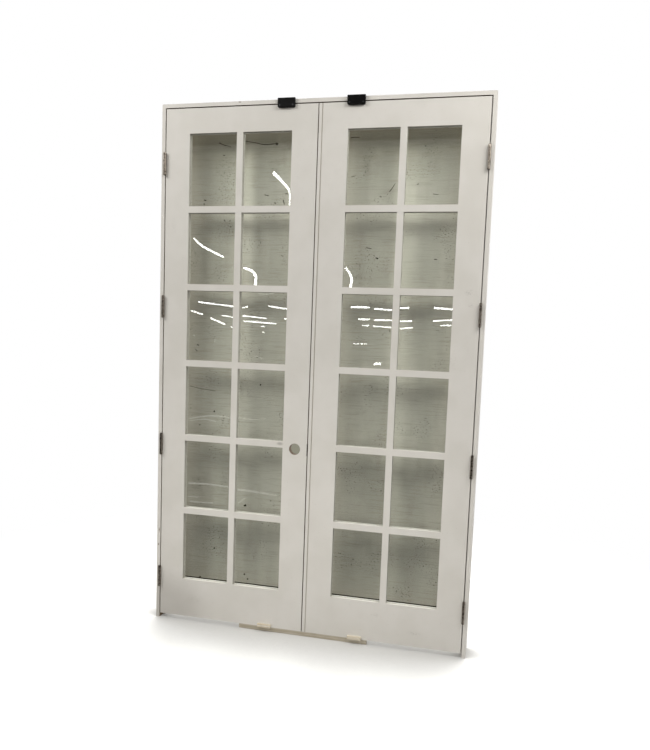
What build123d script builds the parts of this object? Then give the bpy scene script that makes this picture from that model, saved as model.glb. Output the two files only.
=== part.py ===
"""A pair of interior French doors hung in their own wooden frame.

Two glazed leaves hang on four butt hinges each and close against stops. The right leaf
carries a meeting strip with two flush bolts. Each leaf has two columns of six panes, held
by beads from the back. Black clips are screwed to the tops of the leaves, and a pine lath
with two small blocks is fixed below the meeting point, as fitted for carrying.

Millimetres. X runs across the frame from its middle, Y runs from the face to the back, and
Z runs up from the feet of the jambs. The leaves open towards -Y.
"""
import os

from build123d import *

# Leaves
LEAF_WIDTH = 737.0
LEAF_HEIGHT = 2438.0
LEAF_THICKNESS = 35.0
STILE_WIDTH = 119.0
TOP_RAIL_HEIGHT = 113.5
BOTTOM_RAIL_HEIGHT = 188.5
MUNTIN_WIDTH = 30.0
COLUMNS = 2
ROWS = 6
EDGE_EASE = 1.0

# Glazing
REVEAL_DEPTH = 15.0
RABBET_WIDTH = 7.0
GLASS_THICKNESS = 4.0
GLASS_EDGE_GAP = 1.0
BEAD_BEVEL = 4.0

# Frame
JAMB_THICKNESS = 17.5
JAMB_DEPTH = 116.0
HEAD_THICKNESS = 17.5
HEAD_HOUSING = 6.0
LEAF_GAP = 4.0
HEAD_GAP = 5.0
UNDERCUT = 22.0
STOP_THICKNESS = 11.0
STOP_WIDTH = 38.0
STOP_GAP = 1.5
STOP_EDGE_RADIUS = 3.0

# Hinges, their pins and screws
HINGE_COUNT = 4
HINGE_HEIGHT = 101.6
LOW_HINGE_RISE = 193.0
HIGH_HINGE_DROP = 250.0
KNUCKLE_COUNT = 5
KNUCKLE_RADIUS = 6.5
KNUCKLE_GAP = 0.4
SWING_GAP = 0.5
PIN_RADIUS = 3.0
PIN_CLEARANCE = 0.05
PIN_STANDOFF = 10.0
PIN_BUTTON_RADIUS = 5.0
PIN_BUTTON_HEIGHT = 2.5
HINGE_PLATE_THICKNESS = 2.3
HINGE_PLATE_REACH = 28.0
HINGE_PLATE_CORNER = 8.0
HINGE_SCREW_COUNT = 4
HINGE_SCREW_NEAR = 9.0
HINGE_SCREW_FAR = 19.0
HINGE_SCREW_HEAD_RADIUS = 4.0
HINGE_SCREW_SHANK_RADIUS = 2.0
JAMB_SCREW_LENGTH = 16.0
LEAF_SCREW_LENGTH = 25.0

# Lock bore, latch bore and strike recess
LOCK_HEIGHT = 878.0
BACKSET = 60.3
LOCK_BORE_RADIUS = 27.0
LATCH_BORE_RADIUS = 12.7
FACEPLATE_HEIGHT = 57.2
FACEPLATE_WIDTH = 25.4
FACEPLATE_DEPTH = 3.0
FACEPLATE_CORNER = 6.0
STRIKE_HEIGHT = 57.2
STRIKE_WIDTH = 28.6
STRIKE_DEPTH = 1.6
STRIKE_HOLE_RADIUS = 10.0
STRIKE_HOLE_DEPTH = 10.0

# Meeting strip and flush bolts
STRIP_WIDTH = 16.0
STRIP_JOINT_EASE = 2.5
HOUSING_LENGTH = 152.0
HOUSING_WIDTH = 19.0
HOUSING_DEPTH = 12.0
BOLT_RADIUS = 4.0
BOLT_CLEARANCE = 0.05
BOLT_LENGTH = 120.0
BOLT_SETBACK = 1.0
BOLT_END_GAP = 0.5
TOP_BOLT_THROW = 19.0
BOTTOM_BOLT_THROW = 38.0
LUG_WIDTH = 6.0
LUG_LENGTH = 12.0
LUG_SETBACK = 75.0
LUG_SINK = 0.8
LUG_CLEARANCE = 0.3
BOLT_HOLE_RADIUS = 5.0
BOLT_HOLE_DEPTH = 16.0

# Carrying clips, lath and blocks
CLIP_WIDTH = 81.0
CLIP_HEIGHT = 41.0
CLIP_DEPTH = 13.0
CLIP_OVER_LEAF = 15.0
CLIP_LOW_CORNER = 6.0
CLIP_FRONT_EDGE = 1.5
CLIP_RELIEF = 0.5
LEFT_CLIP_OFFSET = 157.0
RIGHT_CLIP_OFFSET = 164.0
CLIP_SCREW_INSET = 10.0
CLIP_SCREW_RISE = 10.0
CLIP_SCREW_HEAD_RADIUS = 3.5
CLIP_SCREW_SHANK_RADIUS = 1.5
CLIP_SCREW_HEAD_DEPTH = 2.5
CLIP_SCREW_LENGTH = 30.0
LATH_LENGTH = 635.0
LATH_HEIGHT = 21.0
LATH_DEPTH = 12.0
LATH_OFFSET = -7.0
LATH_RELIEF = 0.5
BLOCK_WIDTH = 66.0
BLOCK_HEIGHT = 15.0
BLOCK_DEPTH = 16.0
LEFT_BLOCK_OFFSET = 194.0
RIGHT_BLOCK_OFFSET = 252.0

# Places across the frame
OPENING_HALF = (2 * LEAF_WIDTH + STRIP_WIDTH + 3 * LEAF_GAP) / 2
HINGE_EDGE = OPENING_HALF - LEAF_GAP
MEETING_EDGE = HINGE_EDGE - LEAF_WIDTH
STRIP_LEFT = LEAF_GAP - MEETING_EDGE
PIN_X = HINGE_EDGE + LEAF_GAP / 2
SIGHT_WIDTH = (LEAF_WIDTH - 2 * STILE_WIDTH - (COLUMNS - 1) * MUNTIN_WIDTH) / COLUMNS

# Places from front to back
FRONT_REACH = max(PIN_STANDOFF + KNUCKLE_RADIUS, BLOCK_DEPTH, CLIP_DEPTH)
FACE = (FRONT_REACH - JAMB_DEPTH) / 2
LEAF_BACK = FACE + LEAF_THICKNESS
LEAF_MIDDLE = FACE + LEAF_THICKNESS / 2
LIP_BACK = FACE + REVEAL_DEPTH
GLASS_BACK = LIP_BACK + GLASS_THICKNESS
JAMB_BACK = FACE + JAMB_DEPTH
PIN_Y = FACE - PIN_STANDOFF

# Places up the frame
LEAF_BOTTOM = UNDERCUT
LEAF_TOP = LEAF_BOTTOM + LEAF_HEIGHT
HEAD_BOTTOM = LEAF_TOP + HEAD_GAP
HEAD_TOP = HEAD_BOTTOM + HEAD_THICKNESS
GLAZING_BOTTOM = LEAF_BOTTOM + BOTTOM_RAIL_HEIGHT
GLAZING_TOP = LEAF_TOP - TOP_RAIL_HEIGHT
SIGHT_HEIGHT = (GLAZING_TOP - GLAZING_BOTTOM - (ROWS - 1) * MUNTIN_WIDTH) / ROWS
LOCK_LEVEL = LEAF_BOTTOM + LOCK_HEIGHT
LOW_HINGE = LEAF_BOTTOM + LOW_HINGE_RISE
HINGE_SPACING = (LEAF_HEIGHT - LOW_HINGE_RISE - HIGH_HINGE_DROP) / (HINGE_COUNT - 1)
HINGE_LEVELS = [LOW_HINGE + HINGE_SPACING * place for place in range(HINGE_COUNT)]
KNUCKLE_HEIGHT = (HINGE_HEIGHT - (KNUCKLE_COUNT - 1) * KNUCKLE_GAP) / KNUCKLE_COUNT

LEFT, RIGHT = -1, 1
SIDE_NAMES = {LEFT: "left", RIGHT: "right"}
CLIP_OFFSETS = {LEFT: LEFT_CLIP_OFFSET, RIGHT: RIGHT_CLIP_OFFSET}
BLOCK_OFFSETS = {LEFT: LEFT_BLOCK_OFFSET, RIGHT: RIGHT_BLOCK_OFFSET}


def bar(across, deep, tall):
    """Square bar between two places on each axis, given in either order."""
    spans = (across, deep, tall)
    middle = [(low + high) / 2 for low, high in spans]
    return Pos(*middle) * Box(*[abs(high - low) for low, high in spans])


def in_leaf(side, near, far):
    """Places across the frame of two distances from a leaf's meeting edge."""
    return side * (MEETING_EDGE + near), side * (MEETING_EDGE + far)


def upright_cylinder(radius, x, y, low, high):
    """Cylinder that stands between two levels."""
    return Pos(x, y, (low + high) / 2) * Cylinder(radius, high - low)


def countersunk_screw(head_radius, shank_radius, head_depth, length):
    """Screw along Z with the flat of its head at the origin and its tip below."""
    head = Pos(0, 0, -head_depth / 2) * Cone(shank_radius, head_radius, head_depth)
    shank = Pos(0, 0, -(head_depth + length) / 2) * Cylinder(shank_radius, length - head_depth)
    return head + shank


def eased(piece, away_from, ease=EDGE_EASE):
    """Upright piece with the arrises on its side away from a place across the frame taken off."""
    uprights = piece.edges().filter_by(Axis.Z)
    return chamfer(uprights.sort_by(lambda edge: abs(edge.center().X - away_from))[-2:], ease)


# Leaf woodwork and glazing

def pane_places():
    """Distance from the meeting edge and level of each pane's sight corner."""
    return [(STILE_WIDTH + column * (SIGHT_WIDTH + MUNTIN_WIDTH),
             GLAZING_BOTTOM + row * (SIGHT_HEIGHT + MUNTIN_WIDTH))
            for row in range(ROWS) for column in range(COLUMNS)]


def stile(side, near, rabbet_near, ease=EDGE_EASE):
    """Full-height stile with a rabbet for the glass along its inner edge."""
    leaf_middle = side * (MEETING_EDGE + LEAF_WIDTH / 2)
    piece = eased(bar(in_leaf(side, near, near + STILE_WIDTH), (FACE, LEAF_BACK),
                      (LEAF_BOTTOM, LEAF_TOP)), leaf_middle, ease)
    rabbet = bar(in_leaf(side, rabbet_near, rabbet_near + RABBET_WIDTH), (LIP_BACK, LEAF_BACK),
                 (GLAZING_BOTTOM - RABBET_WIDTH, GLAZING_TOP + RABBET_WIDTH))
    return piece - rabbet


def rail(side, low, high, rabbet_low):
    """Rail between the stiles with a rabbet for the glass along its inner edge."""
    across = in_leaf(side, STILE_WIDTH, LEAF_WIDTH - STILE_WIDTH)
    piece = bar(across, (FACE, LEAF_BACK), (low, high))
    return piece - bar(across, (LIP_BACK, LEAF_BACK), (rabbet_low, rabbet_low + RABBET_WIDTH))


def upright_muntins(side):
    """Muntins from rail to rail, each a front lip with a narrower web behind it."""
    pieces = []
    for column in range(1, COLUMNS):
        near = STILE_WIDTH + column * SIGHT_WIDTH + (column - 1) * MUNTIN_WIDTH
        lip = bar(in_leaf(side, near, near + MUNTIN_WIDTH), (FACE, LIP_BACK),
                  (GLAZING_BOTTOM, GLAZING_TOP))
        web = bar(in_leaf(side, near + RABBET_WIDTH, near + MUNTIN_WIDTH - RABBET_WIDTH),
                  (LIP_BACK, LEAF_BACK), (GLAZING_BOTTOM - RABBET_WIDTH, GLAZING_TOP + RABBET_WIDTH))
        pieces.append(lip + web)
    return pieces


def level_muntins(side):
    """Short muntins over every pane but the top ones."""
    pieces = []
    for near, low in pane_places():
        level = low + SIGHT_HEIGHT
        if level + MUNTIN_WIDTH < GLAZING_TOP:
            lip = bar(in_leaf(side, near, near + SIGHT_WIDTH), (FACE, LIP_BACK),
                      (level, level + MUNTIN_WIDTH))
            web = bar(in_leaf(side, near - RABBET_WIDTH, near + SIGHT_WIDTH + RABBET_WIDTH),
                      (LIP_BACK, LEAF_BACK), (level + RABBET_WIDTH, level + MUNTIN_WIDTH - RABBET_WIDTH))
            pieces.append(lip + web)
    return pieces


def panes(side):
    """Sheets of glass that lie behind the lips, clear of the rabbets' walls."""
    edge = RABBET_WIDTH - GLASS_EDGE_GAP
    return [bar(in_leaf(side, near - edge, near + SIGHT_WIDTH + edge), (LIP_BACK, GLASS_BACK),
                (low - edge, low + SIGHT_HEIGHT + edge))
            for near, low in pane_places()]


def bead(length):
    """Mitred bead along Y in plan, its outer edge at X zero and its bevel at the bottom."""
    half = length / 2
    corners = [(0, -half), (RABBET_WIDTH, RABBET_WIDTH - half), (RABBET_WIDTH, half - RABBET_WIDTH),
               (0, half)]
    piece = extrude(make_face(Polyline(*corners, close=True)), LEAF_BACK - GLASS_BACK)
    inner_edges = piece.edges().filter_by(Axis.Y).group_by(Axis.X)[-1]
    return chamfer(inner_edges.sort_by(Axis.Z)[0], BEAD_BEVEL)


def beads(side):
    """Four mitred beads behind each pane, flush with the sight line and the leaf's back."""
    wide = SIGHT_WIDTH + 2 * RABBET_WIDTH
    tall = SIGHT_HEIGHT + 2 * RABBET_WIDTH
    upright, level = bead(tall), bead(wide)
    ring = [Pos(-wide / 2, 0) * upright, Pos(wide / 2, 0) * Rot(0, 0, 180) * upright,
            Pos(0, -tall / 2) * Rot(0, 0, 90) * level, Pos(0, tall / 2) * Rot(0, 0, -90) * level]
    pieces = []
    for near, low in pane_places():
        middle = side * (MEETING_EDGE + near + SIGHT_WIDTH / 2)
        place = Pos(middle, LEAF_BACK, low + SIGHT_HEIGHT / 2) * Rot(90, 0, 0)
        pieces += [place * piece for piece in ring]
    return pieces


# Frame

def jamb(side):
    """Side jamb, housed near its top for the head."""
    outer_face = side * (OPENING_HALF + JAMB_THICKNESS)
    piece = eased(bar((side * OPENING_HALF, outer_face), (FACE, JAMB_BACK), (0, HEAD_TOP)), outer_face)
    housing = bar((side * OPENING_HALF, side * (OPENING_HALF + HEAD_HOUSING)), (FACE, JAMB_BACK),
                  (HEAD_BOTTOM, HEAD_TOP))
    return piece - housing


def head_jamb():
    """Head jamb with a blind hole for the upper flush bolt."""
    half = OPENING_HALF + HEAD_HOUSING
    piece = bar((-half, half), (FACE, JAMB_BACK), (HEAD_BOTTOM, HEAD_TOP))
    return piece - upright_cylinder(BOLT_HOLE_RADIUS, STRIP_LEFT + HOUSING_DEPTH / 2, LEAF_MIDDLE,
                                    HEAD_BOTTOM, HEAD_BOTTOM + BOLT_HOLE_DEPTH)


def side_stop(side):
    """Stop that a leaf closes against, up to the head stop."""
    front = LEAF_BACK + STOP_GAP
    piece = bar((side * OPENING_HALF, side * (OPENING_HALF - STOP_THICKNESS)),
                (front, front + STOP_WIDTH), (0, HEAD_BOTTOM - STOP_THICKNESS))
    room_edges = piece.edges().filter_by(Axis.Z).sort_by(lambda edge: abs(edge.center().X))[:2]
    return fillet(room_edges, STOP_EDGE_RADIUS)


def head_stop():
    """Stop across the head from jamb to jamb."""
    front = LEAF_BACK + STOP_GAP
    piece = bar((-OPENING_HALF, OPENING_HALF), (front, front + STOP_WIDTH),
                (HEAD_BOTTOM - STOP_THICKNESS, HEAD_BOTTOM))
    return fillet(piece.edges().filter_by(Axis.X).sort_by(Axis.Z)[:2], STOP_EDGE_RADIUS)


# Hinges

def plate_blank(side, outer_face, level):
    """Flat hinge plate from the pin back to its rounded corners, set in behind one face."""
    inner, outer = sorted((outer_face, outer_face + (HINGE_PLATE_THICKNESS
                                                     if outer_face > PIN_X else -HINGE_PLATE_THICKNESS)))
    piece = bar((side * inner, side * outer), (PIN_Y, FACE + HINGE_PLATE_REACH),
                (level - HINGE_HEIGHT / 2, level + HINGE_HEIGHT / 2))
    return fillet(piece.edges().filter_by(Axis.X).group_by(Axis.Y)[-1], HINGE_PLATE_CORNER)


def knuckle_levels(level):
    """Level of the middle of each knuckle, from the lowest up."""
    lowest = level - (HINGE_HEIGHT - KNUCKLE_HEIGHT) / 2
    return [lowest + (KNUCKLE_HEIGHT + KNUCKLE_GAP) * place for place in range(KNUCKLE_COUNT)]


def hinge_screws(side, outer_face, toward_pin, length, level):
    """Screws of one plate, in two staggered rows."""
    screw = countersunk_screw(HINGE_SCREW_HEAD_RADIUS, HINGE_SCREW_SHANK_RADIUS,
                              HINGE_PLATE_THICKNESS, length)
    pitch = HINGE_HEIGHT / HINGE_SCREW_COUNT
    lowest = level - HINGE_HEIGHT / 2 + pitch / 2
    rows = (HINGE_SCREW_NEAR, HINGE_SCREW_FAR)
    return [Pos(side * outer_face, FACE + rows[place % len(rows)], lowest + pitch * place)
            * Rot(0, side * toward_pin * 90, 0) * screw for place in range(HINGE_SCREW_COUNT)]


def hinge_leaf(side, outer_face, own_knuckles, screws, level):
    """One leaf of a butt hinge: its plate, its own knuckles, the pin's bore and screw holes."""
    piece = plate_blank(side, outer_face, level)
    for place, middle in enumerate(knuckle_levels(level)):
        if place % 2 == own_knuckles:
            half = KNUCKLE_HEIGHT / 2
            piece += upright_cylinder(KNUCKLE_RADIUS, side * PIN_X, PIN_Y, middle - half, middle + half)
        else:
            half = KNUCKLE_HEIGHT / 2 + KNUCKLE_GAP
            piece -= upright_cylinder(KNUCKLE_RADIUS + SWING_GAP, side * PIN_X, PIN_Y,
                                      middle - half, middle + half)
    piece -= upright_cylinder(PIN_RADIUS + PIN_CLEARANCE, side * PIN_X, PIN_Y,
                              level - HINGE_HEIGHT / 2, level + HINGE_HEIGHT / 2)
    return piece - screws


def hinge_pin(side, level):
    """Pin with a rounded button at each end, which rest on the end knuckles."""
    half = HINGE_HEIGHT / 2
    piece = upright_cylinder(PIN_RADIUS, side * PIN_X, PIN_Y, level - half, level + half)
    for end in (-1, 1):
        middle = level + end * (half + PIN_BUTTON_HEIGHT / 2)
        button = Pos(side * PIN_X, PIN_Y, middle) * Cylinder(PIN_BUTTON_RADIUS, PIN_BUTTON_HEIGHT)
        rim = button.edges().filter_by(GeomType.CIRCLE).sort_by(Axis.Z)[-1 if end > 0 else 0]
        piece += fillet(rim, PIN_BUTTON_HEIGHT / 2)
    return piece


# Lock, meeting strip and flush bolts

def edge_recess(face, inward, width, height, depth, corner):
    """Shallow recess with rounded corners in an upright edge, at the lock's level."""
    piece = bar((face, face + inward * depth), (LEAF_MIDDLE - width / 2, LEAF_MIDDLE + width / 2),
                (LOCK_LEVEL - height / 2, LOCK_LEVEL + height / 2))
    return fillet(piece.edges().filter_by(Axis.X), corner)


def lock_cuts():
    """Lock bore, latch bore and faceplate recess of the left leaf's lock stile."""
    edge = -MEETING_EDGE
    middle = edge - BACKSET
    across = Pos(middle, LEAF_MIDDLE, LOCK_LEVEL) * Rot(90, 0, 0)
    across *= Cylinder(LOCK_BORE_RADIUS, LEAF_THICKNESS)
    along = Pos(edge - BACKSET / 2, LEAF_MIDDLE, LOCK_LEVEL) * Rot(0, 90, 0)
    along *= Cylinder(LATCH_BORE_RADIUS, BACKSET)
    plate = edge_recess(edge, -1, FACEPLATE_WIDTH, FACEPLATE_HEIGHT, FACEPLATE_DEPTH, FACEPLATE_CORNER)
    return [across, along, plate]


def bolt_level(end, setback):
    """Level that lies a distance in from the top end or the bottom end of the strip."""
    return LEAF_TOP - setback if end > 0 else LEAF_BOTTOM + setback


def housing_blank(end):
    """Outside of a flush bolt's housing, let into the strip's free face."""
    return bar((STRIP_LEFT, STRIP_LEFT + HOUSING_DEPTH),
               (LEAF_MIDDLE - HOUSING_WIDTH / 2, LEAF_MIDDLE + HOUSING_WIDTH / 2),
               (bolt_level(end, 0), bolt_level(end, HOUSING_LENGTH)))


def rod(radius, end, near, far):
    """Round bar on a flush bolt's axis between two distances from the strip's end."""
    low, high = sorted((bolt_level(end, near), bolt_level(end, far)))
    return upright_cylinder(radius, STRIP_LEFT + HOUSING_DEPTH / 2, LEAF_MIDDLE, low, high)


def lug(end, sink, side_room, near, far):
    """Thumb lug, or the slot that it slides in when given room all round."""
    half = LUG_WIDTH / 2 + side_room
    return bar((STRIP_LEFT + sink, STRIP_LEFT + HOUSING_DEPTH / 2), (LEAF_MIDDLE - half, LEAF_MIDDLE + half),
               (bolt_level(end, near), bolt_level(end, far)))


def bolt_housing(end, throw):
    """Housing with a round channel for the bolt and a slot for its lug."""
    near = LUG_SETBACK - LUG_LENGTH / 2
    channel = rod(BOLT_RADIUS + BOLT_CLEARANCE, end, 0, BOLT_SETBACK + BOLT_LENGTH + BOLT_END_GAP)
    slot = lug(end, 0, LUG_CLEARANCE, near - throw - LUG_CLEARANCE, near + LUG_LENGTH + LUG_CLEARANCE)
    return housing_blank(end) - channel - slot


def flush_bolt(end):
    """Sliding bolt, drawn back, with its thumb lug."""
    near = LUG_SETBACK - LUG_LENGTH / 2
    return (rod(BOLT_RADIUS, end, BOLT_SETBACK, BOLT_SETBACK + BOLT_LENGTH)
            + lug(end, LUG_SINK, 0, near, near + LUG_LENGTH))


def meeting_strip():
    """Strip on the right leaf's meeting edge, cut for the strike and both housings."""
    piece = eased(bar((STRIP_LEFT, MEETING_EDGE), (FACE, LEAF_BACK), (LEAF_BOTTOM, LEAF_TOP)), MEETING_EDGE)
    piece = eased(piece, STRIP_LEFT, STRIP_JOINT_EASE)
    hole = Pos(STRIP_LEFT + STRIKE_HOLE_DEPTH / 2, LEAF_MIDDLE, LOCK_LEVEL) * Rot(0, 90, 0)
    cuts = [edge_recess(STRIP_LEFT, 1, STRIKE_WIDTH, STRIKE_HEIGHT, STRIKE_DEPTH, FACEPLATE_CORNER),
            hole * Cylinder(STRIKE_HOLE_RADIUS, STRIKE_HOLE_DEPTH), housing_blank(1), housing_blank(-1)]
    return piece - cuts


# Carrying clips, lath and blocks

def clip_screws(side):
    """Two screws through the lower corners of a clip."""
    screw = countersunk_screw(CLIP_SCREW_HEAD_RADIUS, CLIP_SCREW_SHANK_RADIUS,
                              CLIP_SCREW_HEAD_DEPTH, CLIP_SCREW_LENGTH)
    level = LEAF_TOP - CLIP_OVER_LEAF + CLIP_SCREW_RISE
    reach = CLIP_WIDTH / 2 - CLIP_SCREW_INSET
    return [Pos(side * CLIP_OFFSETS[side] + way * reach, FACE - CLIP_DEPTH, level)
            * Rot(90, 0, 0) * screw for way in (-1, 1)]


def clip(side):
    """Clip on a leaf's top edge that stands up in front of the head, just clear of it."""
    outline = Rectangle(CLIP_WIDTH, CLIP_HEIGHT)
    outline = fillet(outline.vertices().group_by(Axis.Y)[0], CLIP_LOW_CORNER)
    body = extrude(outline, CLIP_DEPTH)
    body = fillet(body.edges().group_by(Axis.Z)[-1], CLIP_FRONT_EDGE)
    middle = side * CLIP_OFFSETS[side]
    low = LEAF_TOP - CLIP_OVER_LEAF
    body = Pos(middle, FACE, low + CLIP_HEIGHT / 2) * Rot(90, 0, 0) * body
    relief = bar((middle - CLIP_WIDTH, middle + CLIP_WIDTH), (FACE - CLIP_RELIEF, FACE),
                 (LEAF_TOP, low + CLIP_HEIGHT))
    return body - relief - clip_screws(side)


def lath():
    """Lath below the leaves, fixed to the left one and relieved where the other passes over."""
    across = (LATH_OFFSET - LATH_LENGTH / 2, LATH_OFFSET + LATH_LENGTH / 2)
    piece = bar(across, (FACE, FACE + LATH_DEPTH), (LEAF_BOTTOM - LATH_HEIGHT, LEAF_BOTTOM))
    return piece - bar((STRIP_LEFT - LEAF_GAP, across[1]), (FACE, FACE + LATH_DEPTH),
                       (LEAF_BOTTOM - LATH_RELIEF, LEAF_BOTTOM))


def block(side):
    """Small block in front of the foot of a leaf."""
    middle = side * BLOCK_OFFSETS[side]
    piece = bar((middle - BLOCK_WIDTH / 2, middle + BLOCK_WIDTH / 2), (FACE - BLOCK_DEPTH, FACE),
                (LEAF_BOTTOM, LEAF_BOTTOM + BLOCK_HEIGHT))
    return chamfer(piece.edges().group_by(Axis.Y)[0], EDGE_EASE)


def side_nodes(side):
    """Every node of one leaf and of its share of the frame, by name."""
    name = SIDE_NAMES[side]
    jamb_fixings, leaf_fixings, hinge_nodes, mortises = [], [], {}, {"jamb": [], "leaf": []}
    for place, level in enumerate(HINGE_LEVELS, start=1):
        in_jamb = hinge_screws(side, OPENING_HALF, -1, JAMB_SCREW_LENGTH, level)
        in_leaf_edge = hinge_screws(side, HINGE_EDGE, 1, LEAF_SCREW_LENGTH, level)
        hinge_nodes[f"{name}_hinge_{place}_frame_leaf"] = hinge_leaf(side, OPENING_HALF, 0, in_jamb, level)
        hinge_nodes[f"{name}_hinge_{place}_door_leaf"] = hinge_leaf(side, HINGE_EDGE, 1, in_leaf_edge, level)
        mortises["jamb"].append(plate_blank(side, OPENING_HALF, level))
        mortises["leaf"].append(plate_blank(side, HINGE_EDGE, level))
        jamb_fixings += in_jamb
        leaf_fixings += in_leaf_edge
    clip_fixings = clip_screws(side)
    joint_ease = EDGE_EASE if side == LEFT else STRIP_JOINT_EASE
    lock_stile = stile(side, 0, STILE_WIDTH - RABBET_WIDTH, joint_ease) - clip_fixings
    hinge_stile = stile(side, LEAF_WIDTH - STILE_WIDTH, LEAF_WIDTH - STILE_WIDTH)
    nodes = {
        f"{name}_jamb": jamb(side) - mortises["jamb"] - jamb_fixings,
        f"{name}_stop": side_stop(side),
        f"{name}_hinge_pins": [hinge_pin(side, level) for level in HINGE_LEVELS],
        f"{name}_frame_hinge_screws": jamb_fixings,
        f"{name}_door_hinge_screws": leaf_fixings,
        f"{name}_hinge_stile": hinge_stile - mortises["leaf"] - leaf_fixings,
        f"{name}_lock_stile": lock_stile - lock_cuts() if side == LEFT else lock_stile,
        f"{name}_top_rail": rail(side, GLAZING_TOP, LEAF_TOP, GLAZING_TOP) - clip_fixings,
        f"{name}_bottom_rail": rail(side, LEAF_BOTTOM, GLAZING_BOTTOM, GLAZING_BOTTOM - RABBET_WIDTH),
        f"{name}_upright_muntin": upright_muntins(side),
        f"{name}_level_muntins": level_muntins(side),
        f"{name}_panes": panes(side),
        f"{name}_glazing_beads": beads(side),
        f"{name}_clip": clip(side),
        f"{name}_clip_screws": clip_fixings,
        f"{name}_block": block(side),
    }
    return nodes | hinge_nodes


def all_nodes():
    """Every node of the doors and their frame, by name."""
    shared = {
        "head_jamb": head_jamb(),
        "head_stop": head_stop(),
        "meeting_strip": meeting_strip(),
        "top_bolt_housing": bolt_housing(1, TOP_BOLT_THROW),
        "bottom_bolt_housing": bolt_housing(-1, BOTTOM_BOLT_THROW),
        "top_bolt": flush_bolt(1),
        "bottom_bolt": flush_bolt(-1),
        "lath": lath(),
    }
    return shared | side_nodes(LEFT) | side_nodes(RIGHT)


os.makedirs("parts", exist_ok=True)
for node, shape in all_nodes().items():
    solids = [solid for piece in (shape if isinstance(shape, list) else [shape]) for solid in piece.solids()]
    export_step(Compound(children=solids) if len(solids) > 1 else solids[0], f"parts/{node}.step")
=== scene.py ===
"""The looks of a pair of interior French doors in their own primed wooden frame.

Metres. X runs across the doors from their middle, Y runs from their face to their back, and Z
runs up from the feet of the jambs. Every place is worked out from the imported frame.
"""
import logging
import math
from dataclasses import dataclass
from enum import Enum

import bmesh
import bpy
import numpy as np
from mathutils import Matrix, Vector


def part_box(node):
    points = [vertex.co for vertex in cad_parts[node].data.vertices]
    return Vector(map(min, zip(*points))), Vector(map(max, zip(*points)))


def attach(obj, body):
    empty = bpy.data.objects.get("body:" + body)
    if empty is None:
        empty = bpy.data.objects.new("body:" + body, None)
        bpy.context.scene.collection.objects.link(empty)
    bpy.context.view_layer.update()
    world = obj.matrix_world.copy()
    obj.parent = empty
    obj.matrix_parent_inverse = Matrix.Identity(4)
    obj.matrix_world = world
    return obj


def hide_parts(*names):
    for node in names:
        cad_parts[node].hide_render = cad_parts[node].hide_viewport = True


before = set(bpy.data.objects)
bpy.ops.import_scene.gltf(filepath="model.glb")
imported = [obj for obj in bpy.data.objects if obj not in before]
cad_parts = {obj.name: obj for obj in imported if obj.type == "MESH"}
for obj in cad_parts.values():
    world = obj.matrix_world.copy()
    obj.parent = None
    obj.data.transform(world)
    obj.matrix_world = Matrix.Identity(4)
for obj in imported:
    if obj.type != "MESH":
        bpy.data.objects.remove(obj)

LOG = logging.getLogger("french_doors")
MM = 0.001
ANY_LENGTH_MM = 1e6
OPEN_AIR_RAYS = 16

Tree = bpy.types.NodeTree
Socket = bpy.types.NodeSocket
Material = bpy.types.Material


class Side(Enum):
    """The two leaves, by the side of the doorway on which they hang."""

    LEFT = "left"
    RIGHT = "right"

    @property
    def way(self) -> int:
        """The sign of X on this side."""
        return -1 if self is Side.LEFT else 1

    @property
    def body(self) -> str:
        """The body that this side's leaf belongs to."""
        return f"{self.value}_door"


class Grain(Enum):
    """The way a wooden member's grain runs, as the axis of the frame that it follows."""

    LEVEL = 0
    UPRIGHT = 2


# Colours, nodes and patterns

def linear(code: str) -> tuple[float, float, float, float]:
    """Turns an sRGB hex colour to the linear one that shaders take.

    Args:
        code: Six hex digits, such as "D8D4CC".

    Returns:
        Linear red, green and blue, and an alpha of one.
    """
    parts = np.array([int(code[place:place + 2], 16) for place in (0, 2, 4)]) / 255
    curve = np.where(parts <= 0.04045, parts / 12.92, ((parts + 0.055) / 1.055) ** 2.4)
    return (*curve.tolist(), 1.0)


def add_node(tree: Tree, kind: str, inputs: dict | None = None, output: int | str = 0,
             **settings: object) -> Socket | None:
    """Adds one node with its settings and the values or links of its inputs.

    Args:
        tree: The node tree that the node joins.
        kind: The node's type name without the word ShaderNode.
        inputs: What each input gets, by name or index: a socket is linked, anything else is a value.
        output: The output to hand on, by name or index.
        settings: Attributes to set, by name.

    Returns:
        The chosen output, or None for a node that has none.
    """
    node = tree.nodes.new("ShaderNode" + kind)
    for name, value in settings.items():
        setattr(node, name, value)
    for name, value in (inputs or {}).items():
        if isinstance(value, Socket):
            tree.links.new(value, node.inputs[name])
        else:
            node.inputs[name].default_value = value
    return node.outputs[output] if node.outputs else None


def new_tree(name: str) -> tuple[Material, Tree]:
    """Makes an empty node material.

    Args:
        name: The material's name.

    Returns:
        The material and its node tree.
    """
    material = bpy.data.materials.new(name)
    material.use_nodes = True
    material.node_tree.nodes.clear()
    return material, material.node_tree


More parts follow.
